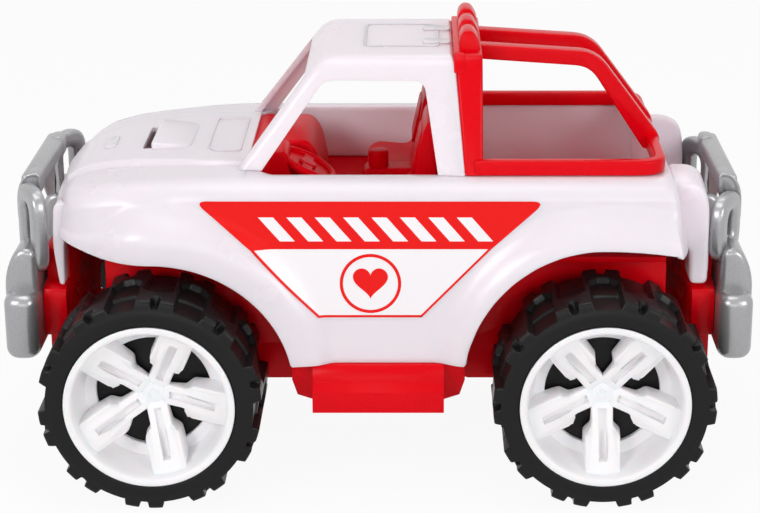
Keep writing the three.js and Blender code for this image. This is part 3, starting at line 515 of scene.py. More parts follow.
def soft_plus(x, width):
    return width * np.log1p(np.exp(np.clip(x / width, -40, 40)))


def soft_max(a, b, width):
    h = np.clip(0.5 + 0.5 * (a - b) / width, 0, 1)
    return b + (a - b) * h + width * h * (1 - h)


arch_reach = 65.5
front_rise = 61.5
rear_rise = 68.5
front_lip_end = 150.0
front_lip_lift = 4.0
rear_lip_end = 147.0
rear_lip_fall = 4.0
nose_start = axle_x


def nose_drop(x):
    """How far the waist has fallen towards the nose."""
    return np.interp(x, [70, 90, 115, 128, 140, 147, 152, 160], [0, 0.8, 3, 4.7, 7, 9.8, 13, 18])


def taper(x):
    return 1 - 0.055 * ease(72, 118, x)


def front_lip_z(x):
    t = np.clip((x - axle_x) / (front_lip_end - axle_x), 0, 1.2)
    return axle_z + front_rise + front_lip_lift * t ** 2


def rear_lip_z(x):
    t = np.clip((-x - axle_x) / (rear_lip_end - axle_x), 0, 1)
    return axle_z + rear_rise - rear_lip_fall * t ** 2


def arch_line(sign, rise, count):
    """Arch lip from the sill to the top over the wheel."""
    start = math.asin((sill_z + 1 - axle_z) / rise)
    angles = np.linspace(start, math.pi / 2, count)
    x = sign * (axle_x - arch_reach * np.cos(angles))
    z = axle_z + rise * np.sin(angles)
    return np.stack([x, z], axis=1)


front_arch = arch_line(1, front_rise, 60)
rear_arch = arch_line(-1, rear_rise, 60)
front_out = np.linspace(axle_x + 0.5, front_lip_end, 40)
rear_out = np.linspace(-axle_x - 0.5, -rear_lip_end, 40)
front_lip = np.vstack([front_arch, np.stack([front_out, front_lip_z(front_out)], axis=1)])
rear_lip = np.vstack([rear_arch, np.stack([rear_out, rear_lip_z(rear_out)], axis=1)])


def distance_to(line, x, z):
    """Shortest way from each point to a line of close points."""
    spots = np.stack([x.ravel(), z.ravel()], axis=1)
    gap = spots[:, None, :] - line[None, :, :]
    return np.sqrt((gap ** 2).sum(axis=2)).min(axis=1).reshape(x.shape)


def base_half(z):
    """Half width of the plain side at a height."""
    return sill_half + (shoulder_half - sill_half) * (z - sill_z) / (shoulder_z - sill_z)


def flared(x, y, z):
    """The side's half width with both arch flares swelled out of it."""
    near_front = distance_to(front_lip, x, z) / (1 - 0.7 * ease(108, 150, x))
    near_rear = distance_to(rear_lip, x, z)
    tuck = 27 * np.clip((x - axle_x) / (front_lip_end - axle_x), 0, 1.3) ** 2
    front = flare_half - tuck - 0.12 * near_front - 0.95 * soft_plus(near_front - 14, 1.5)
    rear = flare_half - 0.2 * near_rear - 0.85 * soft_plus(near_rear - 6.5, 2.2)
    return soft_max(soft_max(y, front, 4.5), rear, 4.5)


# %% [markdown]
# The columns are listed from the middle of the tail, round its corner, along the side and round to
# the middle of the nose. In plan the nose is a superellipse, which gives the flat front with tight
# rounded corners that the bonnet has.

# %% Columns of the side
side_rows = 36
shoulder_rows = 7
nose_count = 40
nose_power = 3.4
bend = (1 - np.cos(np.linspace(0, math.pi, nose_count + 1))) / 2 * math.pi / 2
nose_along = np.sin(bend) ** (2 / nose_power)
nose_across = np.maximum(np.cos(bend), 0) ** (2 / nose_power)
nose_across[-1] = 0


tail_round = 4.0
tail_half = shoulder_half - tail_round
tail_lean = 4.5
tail_rim = 8.0
rim_middle = (-tail_x + tail_lean + 3.5 + tail_rim, waist_half - tail_rim)


def towards_rim(x, reach):
    """Places behind the rear axle drawn forward, most of all at the tail."""
    return x + reach * np.clip((-axle_x - x) / (tail_x - tail_round - axle_x), 0, 1)


columns = []
for y in np.linspace(0, tail_half, 15):
    low_z = 95 + 21.6 * ease(20, 34, y)
    columns.append({"kind": "tail", "x": -tail_x, "y": y, "low_z": low_z, "turn": 1.0})
for turn in np.linspace(math.pi / 2, 0, 11)[1:]:
    x = -tail_x + tail_round * (1 - math.sin(turn))
    y = tail_half + tail_round * math.cos(turn)
    columns.append({"kind": "tail", "x": x, "y": y, "low_z": 116.6, "turn": math.sin(turn)})
for x in np.linspace(-tail_x + tail_round, -axle_x, 16)[1:-1]:
    top_x = float(towards_rim(x, tail_lean))
    columns.append({"kind": "side", "low": (x, float(rear_lip_z(x))), "top_x": top_x})
lean = 12 / 79
for x, z in arch_line(-1, rear_rise, 34)[::-1]:
    columns.append({"kind": "side", "low": (x, z), "top_x": x + lean * (shoulder_z - z)})
sill_end = arch_line(1, front_rise, 2)[0][0] - 0.8
sill_start = arch_line(-1, rear_rise, 2)[0][0] + 0.8
top_end = sill_end + 0.8 - lean * (shoulder_z - sill_z)
top_start = sill_start - 0.8 + lean * (shoulder_z - sill_z)
for share in np.linspace(0, 1, 40):
    low_x = sill_start + (sill_end - sill_start) * share
    top_x = top_start + 0.6 + (top_end - top_start - 1.2) * share
    columns.append({"kind": "side", "low": (low_x, sill_z), "top_x": top_x})
for x, z in arch_line(1, front_rise, 34)[:-1]:
    columns.append({"kind": "side", "low": (x, z), "top_x": x - lean * (shoulder_z - z)})
for along, across in zip(nose_along, nose_across):
    columns.append({"kind": "nose", "along": along, "across": across})
cowl_x = 62.5
sides = [i for i, column in enumerate(columns) if column["kind"] == "side"]
cowl_index = min(sides, key=lambda i: abs(columns[i]["top_x"] - cowl_x))
columns[cowl_index]["top_x"] = cowl_x
print("columns", len(columns), "cowl at", cowl_index)

# %% [markdown]
# Each column then gets its points: a straight run from the lower edge to the shoulder, a quarter turn
# over the shoulder to the waist, and the swell of the flares added sideways. Computing the points is
# exact and keeps the quads even, where pulling a box into shape by hand would not.


# %% Points of the side, shoulder, waist rim and bonnet
def nose_plan(half, front, column):
    x = nose_start + (front - nose_start) * column["along"]
    y = half * taper(x) * column["across"]
    return x, y


def rim_y(column, radius):
    """How far aside the tail's rim is, with its corner drawn at a radius."""
    flat = min(1.0, column["y"] / tail_half)
    return rim_middle[1] * flat + radius * math.sqrt(1 - column["turn"] ** 2)


def column_points(column):
    """Lower edge, shoulder line and waist line of one column, in millimetres."""
    if column["kind"] == "tail":
        x, y, turn = column["x"], column["y"], column["turn"]
        lean_out = (base_half(column["low_z"]) - shoulder_half) * (1 - turn)
        low = (x, y + lean_out, column["low_z"])
        top = (x + tail_lean, y, shoulder_z - 1.5 * turn)
        waist = (rim_middle[0] - tail_rim * turn, rim_y(column, tail_rim), waist_z)
        return low, top, waist
    if column["kind"] == "side":
        low_x, low_z = column["low"]
        top_x = column["top_x"]
        top_z = shoulder_z - float(nose_drop(top_x))
        low = (low_x, base_half(low_z) * taper(low_x), low_z)
        top = (top_x, shoulder_half * taper(top_x), top_z)
        waist_x = float(towards_rim(top_x, 3.5 + tail_rim - tail_round))
        waist = (waist_x, waist_half * taper(top_x), waist_z - float(nose_drop(top_x)))
        return low, top, waist
    waist_x, waist_y = nose_plan(waist_half, nose_x - 5, column)
    top_x, top_y = nose_plan(shoulder_half, nose_x - 1.5, column)
    low_x, low_y = nose_plan(shoulder_half + 1.5, nose_x, column)
    waist_low = waist_z - float(nose_drop(waist_x))
    top_z = shoulder_z - float(nose_drop(top_x))
    low_z = float(front_lip_z(min(low_x, front_lip_end)))
    low_z -= 5.5 * float(ease(56, 42, low_y)) if low_x > 145 else 0
    low_z = min(low_z, top_z - 2.5)
    return (low_x, low_y, low_z), (top_x, top_y, top_z), (waist_x, waist_y, waist_low)


side = np.zeros((side_rows + shoulder_rows, len(columns), 3))
waist_line = np.zeros((len(columns), 3))
for i, column in enumerate(columns):
    low, top, waist = (np.array(point, float) for point in column_points(column))
    for j in range(side_rows):
        v = j / (side_rows - 1)
        side[j, i] = low + (top - low) * v
    for j in range(1, shoulder_rows + 1):
        phi = j / shoulder_rows
        across = 0.45 * phi + 0.55 * (1 - math.cos(phi * math.pi / 2))
        up = 0.45 * phi + 0.55 * math.sin(phi * math.pi / 2)
        spot = top + (waist - top) * across
        spot[2] = top[2] + (waist[2] - top[2]) * up
        side[side_rows + j - 1, i] = spot
    waist_line[i] = side[-1, i]
skin = side[:side_rows]
share_of_flare = np.array([1 - column.get("turn", 0.0) for column in columns])
swelled = flared(skin[..., 0], skin[..., 1], skin[..., 2])
skin[..., 1] += (swelled - skin[..., 1]) * share_of_flare
skin[:, -1, 1] = 0
print("side points", side.shape)


# %% [markdown]
# The bonnet is a height field over the plan: flat tops beside a raised middle that steps up over a
# few millimetres and is slightly crowned. Its columns start on the same waist points as the side, so
# the two grids join without a seam. Behind the bonnet the waist turns in to a narrow rim.


# %% Bonnet, waist rim and the joined skin
def bulge_half(x):
    """Half width of the raised middle, which stays inside the bonnet's edge."""
    along = np.clip(x - nose_start, 0, None) / (nose_x - 5 - nose_start)
    edge = waist_half * taper(x) * np.clip(1 - along ** nose_power, 0, 1) ** (1 / nose_power)
    return np.minimum(np.interp(x, [62, 82, 120, 142], [46, 45, 36, 31]), edge - 9)


step_half = 1.8


def bonnet_height(x, y):
    half = bulge_half(x)
    rise = np.interp(x, [62, 82, 120, 142, 160], [1.2, 1.9, 2.8, 2.4, 2.0])
    raised = 1 - ease(half - step_half, half + step_half, np.abs(y))
    crown = 0.8 * np.clip(1 - (y / np.maximum(half, 1)) ** 2, 0, 1)
    return waist_z - nose_drop(x) + rise * raised + crown * raised


def share_at_step(x0, y0, spine_x, offset):
    """How far from the edge to the spine the raised middle's step is reached."""
    low, high = 0.0, 1.0
    for _ in range(40):
        middle = (low + high) / 2
        x = x0 + (spine_x - x0) * middle
        if y0 * (1 - middle) - bulge_half(x) > offset:
            low = middle
        else:
            high = middle
    return low


def bonnet_shares(x0, y0, spine_x):
    """Rows of the bonnet: close together where the middle steps up."""
    outer = share_at_step(x0, y0, spine_x, step_half)
    inner = share_at_step(x0, y0, spine_x, -step_half)
    flat = np.linspace(0, outer, 9)[:-1]
    step = np.linspace(outer, inner, 13)[:-1]
    return np.concatenate([flat, step, np.linspace(inner, 1, 18)])


bonnet = np.zeros((38, len(columns) - cowl_index, 3))
first_nose = next(i for i, column in enumerate(columns) if column["kind"] == "nose")
for k, i in enumerate(range(cowl_index, len(columns))):
    x0, y0 = waist_line[i, :2]
    share = max(0, i - first_nose) / (len(columns) - 1 - first_nose)
    spine_x = x0 if i < first_nose else nose_start + (139 - nose_start) * share
    for r, rho in enumerate(bonnet_shares(x0, y0, spine_x)):
        x = x0 + (spine_x - x0) * rho
        y = y0 * (1 - rho)
        bonnet[r, k] = (x, y, float(bonnet_height(x, y)))
    bonnet[0, k] = waist_line[i]
bonnet[-1, :, 1] = 0

rim_steps = [(0, 0), (0.4, 0), (0.85, 0), (1, 0.02), (1, 0.12), (1, 0.5), (1, 1)]
rim_rows = np.zeros((len(rim_steps), cowl_index + 1, 3))
for i in range(cowl_index + 1):
    spot = waist_line[i].copy()
    inner = spot.copy()
    if columns[i]["kind"] == "tail":
        inner[0] = rim_middle[0] - 2.5 * columns[i]["turn"]
        inner[1] = rim_y(columns[i], 2.5)
    else:
        inner[1] = np.interp(spot[0], [50.5, 62.5], [61.5, 47])
    depth = float(np.interp(spot[0], [-45.5, -44.5], [37.4, 27.4]))
    for r, (share, fall) in enumerate(rim_steps):
        rim_rows[r, i] = spot + (inner - spot) * share - np.array([0, 0, depth * fall])

body = joined("body_shell_skin", [
    grid("side_grid", side),
    grid("bonnet_grid", bonnet),
    grid("rim_grid", rim_rows),
])
only(body)
bpy.ops.object.mode_set(mode="EDIT")
bpy.ops.mesh.select_all(action="SELECT")
bpy.ops.mesh.remove_doubles(threshold=2e-6)
bpy.ops.mesh.flip_normals()
bpy.ops.object.mode_set(mode="OBJECT")
apply(body, "MIRROR", use_axis=(False, True, False), use_mirror_merge=True, merge_threshold=1e-5)
apply(body, "SOLIDIFY", thickness=wall * mm, offset=-1, use_even_offset=False)
slot_plan = rounded(rectangle(111.4, 116.2, -19.5, 19.5), 1.4, 4)
cut(body, plate("air_slot", slot_plan, waist_z - 20, waist_z + 20, "z"))
soften(body, 0.7, 2, 55)
smooth(body, 40)
finished(body, "car", "body_white", body_white, "body_shell")

# %% [markdown]
# The bonnet carries a low wedge-shaped scoop that rises to the air slot in front of it, a raised line
# round a service panel near the screen and a latch at the front. At the four corners of the car stand
# rounded white columns that the bumpers meet. The scoop is an outline plate whose top is drawn down
# to the rear.


# %% Bonnet details and corner columns
def on_bonnet(piece, lift):
    """Heights in the piece become heights above the bonnet's crown."""
    for vertex in piece.data.vertices:
        x, y, z = vertex.co
        vertex.co.z = float(bonnet_height(x / mm, min(abs(y / mm), 20))) * mm + z + lift * mm
    piece.data.update()
    return piece


scoop_fall = 3.0
scoop_plan = rounded([(92, -20.5), (111.6, -22.5), (111.6, 22.5), (92, 20.5)], [4, 2, 2, 4])
scoop = plate("scoop", scoop_plan, -2.0, 3.6, "z")
for vertex in scoop.data.vertices:
    if vertex.co.z > 0:
        vertex.co.z -= scoop_fall * mm * (1 - ease(90, 111, vertex.co.x / mm))
scoop.data.update()
on_bonnet(scoop, -0.3)
soften(scoop, 0.7, 3)


def bead(name, plan, width, low, high):
    """A raised line that follows a closed plan outline inwards."""
    middle = np.mean(plan, axis=0)
    reach = np.abs(np.array(plan) - middle).max(axis=0)
    inner = [tuple(middle + (np.array(p) - middle) * (1 - width / reach)) for p in plan]
    piece = plate(name, plan, low, high, "z")
    return cut(piece, plate(name + "_cut", inner, low - 1, high + 1, "z"))


panel_plan = rounded([(67, -30), (84, -30), (84, 24), (79.5, 30), (67, 30)], 3.0, 4)
panel = bead("panel", panel_plan, 1.3, -1.0, 0.5)
on_bonnet(panel, 0.2)
soften(panel, 0.3, 2)
latch = plate("latch", rounded(rectangle(131, 137, -9, 9), 3), -1.0, 0.9, "z")
on_bonnet(latch, 0.1)
soften(latch, 0.6, 3)

column_fall = 4.5
column_foot = [(-138, 118), (-147.8, 112), (-148.6, 95), (-157, 95)]
column_head = [(-157, 134), (-155, 145), (-149.5, 150), (-138, 150)]
column_side = rounded(column_foot + column_head, [0, 3, 3, 3, 10, 6, 5, 0], 5)
column = plate("tail_column", column_side, 42, 62, "y")
for vertex in column.data.vertices:
    if vertex.co.y > 50 * mm:
        vertex.co.z -= column_fall * mm * ease(125, 150, vertex.co.z / mm)
column.data.update()
soften(column, 2.2, 4)
lens = soften(plate("tail_lens", rounded(rectangle(46, 58, 99, 120), 3), -157.6, -150, "x"), 0.5, 3)
nose_side = [(151, 93), (153.4, 93), (156, 114), (154.5, 134), (148, 134), (150.4, 114)]
nose_column = soften(plate("nose_column", rounded(nose_side, [1, 2, 8, 4, 0, 3], 5), 46, 57, "y"), 0.9, 4)
columns_pair = joined("end_columns", [column, lens, nose_column])
other_pair = mirrored(columns_pair, "end_columns_right")
body_parts = joined("body_details", [scoop, panel, latch, columns_pair, other_pair])
finished(body_parts, "car", "body_white", body_white)

# %% [markdown]
# ## Cab
#
# The cab upper is a second white moulding: four pillars and a roof. It is laid as rings from the waist
# to the roof. Each ring is a rounded rectangle, and over the last few millimetres the rings draw in on
# a curve that starts along the wall and ends flat, so the roof edge is truly round. The last ring is
# filled, solidify gives the wall, and rounded shapes cut the windows.


# %% Cab upper
cab_foot = waist_z + seam
edge_z = 194.6
foot_ring = np.array([66.5, 41.0, 56.0, 65.5])
edge_ring = np.array([33.4, 36.7, 45.8, 47.2])
roof_inset = np.array([3.6, 2.6, 8.0, 8.0])
slope = (edge_ring - foot_ring) / (edge_z - cab_foot)
ridge_ring = edge_ring + slope * (roof_z - edge_z)


def cab_ring(sizes, z, radius):
    """One closed ring: front, rear, half width at the front and half width at the rear."""
    front, rear, front_half, rear_half = sizes
    corners = [(front, -front_half), (front, front_half), (-rear, rear_half), (-rear, -rear_half)]
    ring = rounded(corners, [radius, radius, 1.5, 1.5], 8)
    ring.append(ring[0])
    return [(x, y, z) for x, y in ring]


cab_rings = []
for share in np.linspace(0, 1, 9):
    sizes = foot_ring + (edge_ring - foot_ring) * share
    cab_rings.append(cab_ring(sizes, cab_foot + (edge_z - cab_foot) * share, 4 + 2 * share))
for t in np.linspace(0, 1, 9)[1:]:
    sizes = (1 - t) ** 2 * edge_ring + 2 * t * (1 - t) * ridge_ring + t ** 2 * (ridge_ring - roof_inset)
    z = (1 - t) ** 2 * edge_z + (1 - (1 - t) ** 2) * roof_z
    cab_rings.append(cab_ring(sizes, z, 6 + 2 * t))
for inset in (2.0, 8.0, 14.0, 20.0, 25.0):
    crown = 0.4 * (1 - (1 - inset / 25) ** 2)
    cab_rings.append(cab_ring(ridge_ring - roof_inset - inset, roof_z + crown, 6))
cab = settle(grid("cab_upper", cab_rings))
only(cab)
bpy.ops.object.mode_set(mode="EDIT")
bpy.ops.mesh.select_all(action="DESELECT")
bpy.ops.object.mode_set(mode="OBJECT")
for vertex in cab.data.vertices:
    vertex.select = vertex.co.z > (roof_z + 0.39) * mm
bpy.ops.object.mode_set(mode="EDIT")
bpy.ops.mesh.edge_face_add()
bpy.ops.mesh.select_all(action="SELECT")
bpy.ops.mesh.normals_make_consistent(inside=False)
bpy.ops.object.mode_set(mode="OBJECT")
apply(cab, "SOLIDIFY", thickness=wall * mm, offset=-1, use_even_offset=False)

side_window = rounded([(61, 142), (25.6, 191.7), (-21.7, 191.7), (-29.5, 142)], [0, 5, 5, 0])
cut(cab, plate("side_cut", side_window, -90, 90, "y"))
screen = rounded([(-52, 142), (52, 142), (40.4, 192.3), (-40.4, 192.3)], [0, 0, 5, 5])
cut(cab, plate("screen_cut", screen, 5, 90, "x"))
rear_window = rounded([(-60.5, 142), (60.5, 142), (40.2, 192.3), (-40.2, 192.3)], [0, 0, 5, 5])
cut(cab, plate("rear_cut", rear_window, -80, -30, "x"))
settle(cab)
soften(cab, 0.7, 3, 50)

hatch = bead("hatch", rounded(rectangle(-29, 7.5, -24, 24), 4), 1.3, roof_z - 1, roof_z + 0.75)
soften(hatch, 0.35, 2)
ribs = []
for y in (-14, 14):
    rib = plate("rib", rounded(rectangle(-34.5, -21, y - 4, y + 4), 1.5), roof_z, roof_z + 1.3, "z")
    ribs.append(soften(rib, 0.5, 2))
cab = joined("cab_upper", [cab, hatch, *ribs])
finished(cab, "car", "body_white", body_white, "cab_roof")

# %% [markdown]
# ## Roll bar
#
# The red roll bar is one moulding: a hoop against the back of the cab, three lamp pods on it, two
# bars that run back and bend down to the tail, and a rail round the bed. Each is an outline plate,
# because bars moulded in a two-part tool have flat sides and rounded edges.

# %% Hoop and lamp pods
hoop_lean = 4.6
pod_foot = 203.0
pod_taper = 0.16 / 9
hoop_outer = [(66, cab_foot), (47, 195.5), (41.5, 203)]
hoop_inner = [(34, 195.2), (39.9, 192.8), (58, cab_foot)]
outline = hoop_outer + [(-a, b) for a, b in reversed(hoop_outer)]
outline += [(-a, b) for a, b in reversed(hoop_inner)] + hoop_inner
outline = rounded(outline, [0, 5, 3, 3, 5, 0, 0, 4, 3, 3, 4, 0], 4)
hoop = plate("hoop", outline, -49.3, -40.8, "x")
for vertex in hoop.data.vertices:
    if vertex.co.x > -45 * mm:
        vertex.co.x += hoop_lean * mm * (vertex.co.z / mm - cab_foot) / (roof_z - cab_foot)
hoop.data.update()
soften(hoop, 1.3, 3)

lip_half = [(47.2, 195.2), (46.6, 196.9), (41.9, 203.5)]
lip_face = lip_half + [(-y, z) for y, z in reversed(lip_half)]
lip = soften(plate("lip", rounded(lip_face, [0, 5, 4, 4, 5, 0], 5), -41, -35.7, "x"), 0.6, 3)

pod_side = [(-38, 199), (-38.6, 209.3), (-41, 212.4), (-45, 212), (-48, 207), (-49, 199)]
pod = plate("pod", rounded(pod_side, [0, 2, 2, 2, 2, 0], 4), -9.5, 9.5, "y")
for vertex in pod.data.vertices:
    vertex.co.y *= 1 - pod_taper * max(0, vertex.co.z / mm - pod_foot)
pod.data.update()
soften(pod, 1.6, 4)
pods = [pod]
for y in (-24.5, 24.5):
    pods.append(moved(copy_of(pod, "pod"), Matrix.Translation((0, y * mm, 0))))

# %% [markdown]
# The sloping bars are one side outline with a bend in it, and the rail is a plan outline that runs
# round three sides of the bed.

# %% Sloping bars and bed rail
bar_upper = [(-45, 202.9), (-105.2, 199.0), (-136.8, 157), (-136.8, 150.6)]
bar_lower = [(-128.8, 150.6), (-101.8, 191.9), (-45, 195.9)]
bar = plate("bar", rounded(bar_upper + bar_lower, [0, 9, 3, 1, 1, 7, 0], 6), 12.4, 21.0, "y")
soften(bar, 1.7, 4)
bars = [bar, mirrored(bar, "bar_right")]

rail_front = -45.0
rail_rear = -135.8
corner = 14.0
outer = [(rail_front, 66), (rail_rear, 66), (rail_rear, -66), (rail_front, -66)]
inner = [(rail_front, -60.3), (rail_rear + 5.7, -60.3), (rail_rear + 5.7, 60.3), (rail_front, 60.3)]
rail_plan = rounded(outer + inner, [0, corner, corner, 0, 0, 9, 9, 0], 8)
rail = soften(plate("rail", rail_plan, cab_foot, 157.6, "z"), 1.5, 4)
roll_bar = joined("roll_bar_moulding", [hoop, lip, *pods, *bars, rail])
finished(roll_bar, "car", "trim_red", trim_red, "roll_bar")

# %% [markdown]
# ## Interior
#
# Through the windows the toy shows two seats, a console with a gear knob, a dashboard and a steering
# wheel, all in the same red; here that red is a darker, less glossy copy of the trim red, painted shade
# for the inside of the cab. The seats are side outlines carried across and softened, so the cushion
# rolls over into the back.

# %% Seats, console, dashboard and floors
pad_x = 15.2
pad_foot = 138.0
back_lean = 0.217
seat_front = [(6, 121), (8, 131), (3, 135.2), (-15, 133.5)]
seat_rear = [(-21.5, 168), (-24.5, 172), (-29, 170), (-27, 121)]
seat_side = rounded(seat_front + seat_rear, [0, 4, 4, 5, 4, 3, 3, 0], 5)
seat = soften(plate("seat", seat_side, 8, 48, "y"), 1.8, 4)
pad = plate("back_pad", rounded(rectangle(13.5, 42.5, 143, 164), 5), -1.5, 1.0, "x")
for vertex in pad.data.vertices:
    vertex.co.x -= (pad_x + back_lean * (vertex.co.z / mm - pad_foot)) * mm
pad.data.update()
soften(pad, 0.8, 3)
seat = joined("seat", [seat, pad])
seats = [seat, mirrored(seat, "seat_right")]
console_side = rounded([(10, 121), (9, 136), (-20, 136), (-20, 121)], [0, 4, 0, 0])
console = soften(plate("console", console_side, -7.5, 7.5, "y"), 2.2, 4)
dash_side = [(66, 121), (66, 149), (57, 151.2), (52.5, 149), (51.5, 121)]
dash = soften(plate("dash", rounded(dash_side, [0, 2, 2, 2, 0]), -44, 44, "y"), 1.2, 3)
hump_side = [(59, 121), (55, 149.5), (36, 151.5), (31, 144), (26.5, 121)]
hump = soften(plate("hump", rounded(hump_side, [0, 4, 5, 4, 0]), -44, 8, "y"), 2.4, 4)
cowl_side = [(58, 140), (58, 152.5), (50, 154.5), (44, 154), (42, 140)]
cowl = soften(plate("instrument_cowl", rounded(cowl_side, [0, 3, 4, 3, 0]), 16, 40, "y"), 1.8, 4)
deck_top = [(61.3, 119), (61.3, 122), (-45, 122), (-45, 112), (-136, 112)]
deck_under = [(-136, 109), (-42, 109), (-42, 119)]
deck = soften(plate("deck", deck_top + deck_under, -70, 70, "y"), 0.6, 2)
bed_ribs = []
for y in range(-45, 46, 15):
    rib = plate("bed_rib", rounded(rectangle(-131, -52, y - 2, y + 2), 1.5), 111.5, 113, "z")
    bed_ribs.append(soften(rib, 0.5, 2))
interior = joined("interior_moulding", [*seats, console, dash, hump, cowl, deck, *bed_ribs])
# The interior's darker red is painted shade for the inside of the cab, not a different plastic.
finished(interior, "car", "trim_red", cab_red_painted_shade, "interior")


# %% [markdown]
# Turned parts (knob, steering wheel, rims, tyres) are profiles carried round an axis. A grid is laid
# with one row for each profile point and one column for each step round.


# %% Gear knob and steering wheel
def lathe(name, profile, segments, axis="z"):
    """A (radius, height) profile in millimetres carried round an axis through the origin."""
    angles = np.linspace(0, 2 * math.pi, segments + 1)
    rows = []
    for radius, height in profile:
        ring = []
        for angle in angles:
            c, s = radius * math.cos(angle), radius * math.sin(angle)
            ring.append((c, s, height) if axis == "z" else (c, height, s))
        rows.append(ring)
    return settle(grid(name, rows))


knob_profile = [(0, 0), (5.0, 0), (5.0, 6.6), (4.8, 7.4), (4.2, 7.9), (3.3, 8.1), (0, 8.2)]
knob = lathe("gear_knob_turned", knob_profile, 40)
moved(knob, Matrix.Translation((1 * mm, 0, 136.1 * mm)))
smooth(knob, 50)
finished(knob, "car", "trim_red", cab_red_painted_shade, "gear_knob")

start_fresh()
bpy.ops.mesh.primitive_torus_add(
    major_segments=72, minor_segments=16, major_radius=13.7 * mm, minor_radius=1.8 * mm,
)
wheel_ring = named(bpy.context.object, "wheel_ring")
dish_profile = [(0, -2.4), (13.4, -2.4), (13.6, -1.2), (13.4, -0.2), (0, -0.2)]
wheel_dish = lathe("wheel_dish", dish_profile, 64)
wheel_bar = plate("wheel_bar", rounded(rectangle(-2.8, 2.8, -13.2, 13.2), 1.0), -1.5, 1.1, "z")
soften(wheel_bar, 0.7, 3)
hub_profile = [(0, -1.0), (4.4, -1.0), (4.6, 0.8), (3.9, 1.5), (0, 1.7)]
wheel_hub = lathe("wheel_hub", hub_profile, 32)
column_rod = lathe("wheel_column", [(0, -22), (3, -22), (3, -1), (0, -1)], 24)
wheel_parts = [wheel_ring, wheel_dish, wheel_bar, wheel_hub, column_rod]
steering = joined("steering_wheel_turned", wheel_parts)
turn = Matrix.Rotation(-math.radians(27), 4, "Y")
moved(steering, Matrix.Translation((35 * mm, 28 * mm, 145 * mm)) @ turn)
smooth(steering, 40)
finished(steering, "car", "trim_red", cab_red_painted_shade, "steering_wheel")

# %% [markdown]
# ## Wheels
#
# Each tyre is a hollow moulded drum. The tread repeats every 36 degrees: a wide recess that reaches
# past the middle, and between two recesses a pair of lugs parted by a short slot. The other half of
# the tread is the same, half a step on. The whole outer surface is a grid round the axle whose radius
# is lowered inside the recesses and slots, which gives the sloped walls that a mould needs.


# %% Tyre
def box_distance(a, b, half_a, half_b, chamfer):
    """Signed distance-like measure to a box with chamfered corners."""
    over_a = np.abs(a) - half_a
    over_b = np.abs(b) - half_b
    slanted = (over_a + over_b + chamfer) / math.sqrt(2)
    return np.maximum(np.maximum(over_a, over_b), slanted)


tread_floor = 48.2
tread_middle = 50.0
pitch = 36.0


def tread_mask(angle, y, side):
    """How deep the tread is at each point: 1 in a recess, less behind its step, 0 on a lug."""
    offset = pitch / 2 if side > 0 else 0.0
    arc = math.radians(1) * tread_middle
    away = ((angle - offset + pitch / 2) % pitch - pitch / 2) * arc
    along = side * y
    recess = box_distance(away, along - 10, 6.6, 19, 4)
    deep = 1 - ease(-0.6, 0.6, recess)
    step = 0.68 + 0.32 * ease(6.2, 8.2, along)
    near = ((angle - offset + pitch) % pitch - pitch / 2) * arc
    slot = box_distance(near, along - 22, 1.9, 6.8, 1.4)
    cut_in = 1 - ease(-0.5, 0.5, slot)
    return np.maximum(deep * step, cut_in)


tyre_side = [
    (2.8, 1.5), (20, 1.5), (39.6, 1.5), (39.6, 22.6), (40.2, 23.3), (41.0, 23.5), (44.6, 23.6),
]
tyre_shoulder = [
    (46.0, 23.45), (47.0, 23.2), (47.6, 23.05), (48.2, 22.95), (49.2, 22.8), (50.2, 22.65),
    (51.0, 22.45), (51.6, 22.1), (51.9, 21.6),
]
lead_in = tyre_side + tyre_shoulder
tread_y = np.linspace(21, -21, 68)
lead_out = [(radius, -y) for radius, y in reversed(lead_in[4:])]
drum = [
    (44.4, -23.4), (43.6, -22.6), (43.6, -1.5), (20, -1.5), (9, -1.5), (9, -19.5), (2.8, -19.5), (2.8, 1.5),
]
section = lead_in + [(tyre_radius, y) for y in tread_y] + lead_out[:-1] + drum
section = np.array(section)
steps_round = 560
angles = np.linspace(0, 360, steps_round + 1)
radius = np.repeat(section[:, :1], steps_round + 1, axis=1)
across = np.repeat(section[:, 1:], steps_round + 1, axis=1)
around = np.repeat(angles[None, :], len(section), axis=0)
mask = np.maximum(tread_mask(around, across, 1), tread_mask(around, across, -1))
lowered = np.where(radius > tread_floor, radius + (tread_floor - radius) * mask, radius)
tyre_points = np.stack([
    lowered * np.cos(np.radians(around)),
    across,
    lowered * np.sin(np.radians(around)),
], axis=2)
tyre = settle(grid("tyre", tyre_points))
smooth(tyre, 38)
print("tyre points", len(tyre.data.vertices))

# %% [markdown]
# The rim insert has a bright lip, a dished bowl and five spokes that step up from a narrow bar at the
# hub to a broad block at the bowl, with a groove down the middle of each. One spoke is modelled and
# copied round, and the dark web of the tyre shows between the spokes.

# %% Rim bowl and hub
bowl_profile = [
    (27.2, 1.7), (39.3, 1.7), (39.3, 22.8), (39.7, 23.9), (39.2, 24.3), (37.4, 24.3), (36.6, 23.9),
    (36.1, 23.0), (35.7, 20.0), (34.9, 14.0), (33.6, 8.0), (32.2, 5.8), (29.0, 4.6), (27.6, 4.2),
    (27.2, 3.7), (27.2, 1.7),
]
bowl = lathe("bowl", bowl_profile, 96, "y")
hub_face = [(0, 2.0), (5.4, 2.0), (5.4, 5.7), (5.0, 6.2), (4.2, 6.4), (0, 6.4)]
hub = lathe("rim_hub", hub_face, 60, "y")
boss = lathe("rim_boss", [(0, 6.0), (3.2, 6.0), (3.0, 6.9), (2.2, 7.0), (1.9, 5.9), (0, 5.9)], 5, "y")

# %% [markdown]
# A spoke is a plan outline whose top slopes down to the hub, with its narrow part set lower and its
# sides drawn in a little, as a mould needs. A long slanted block cuts the groove.

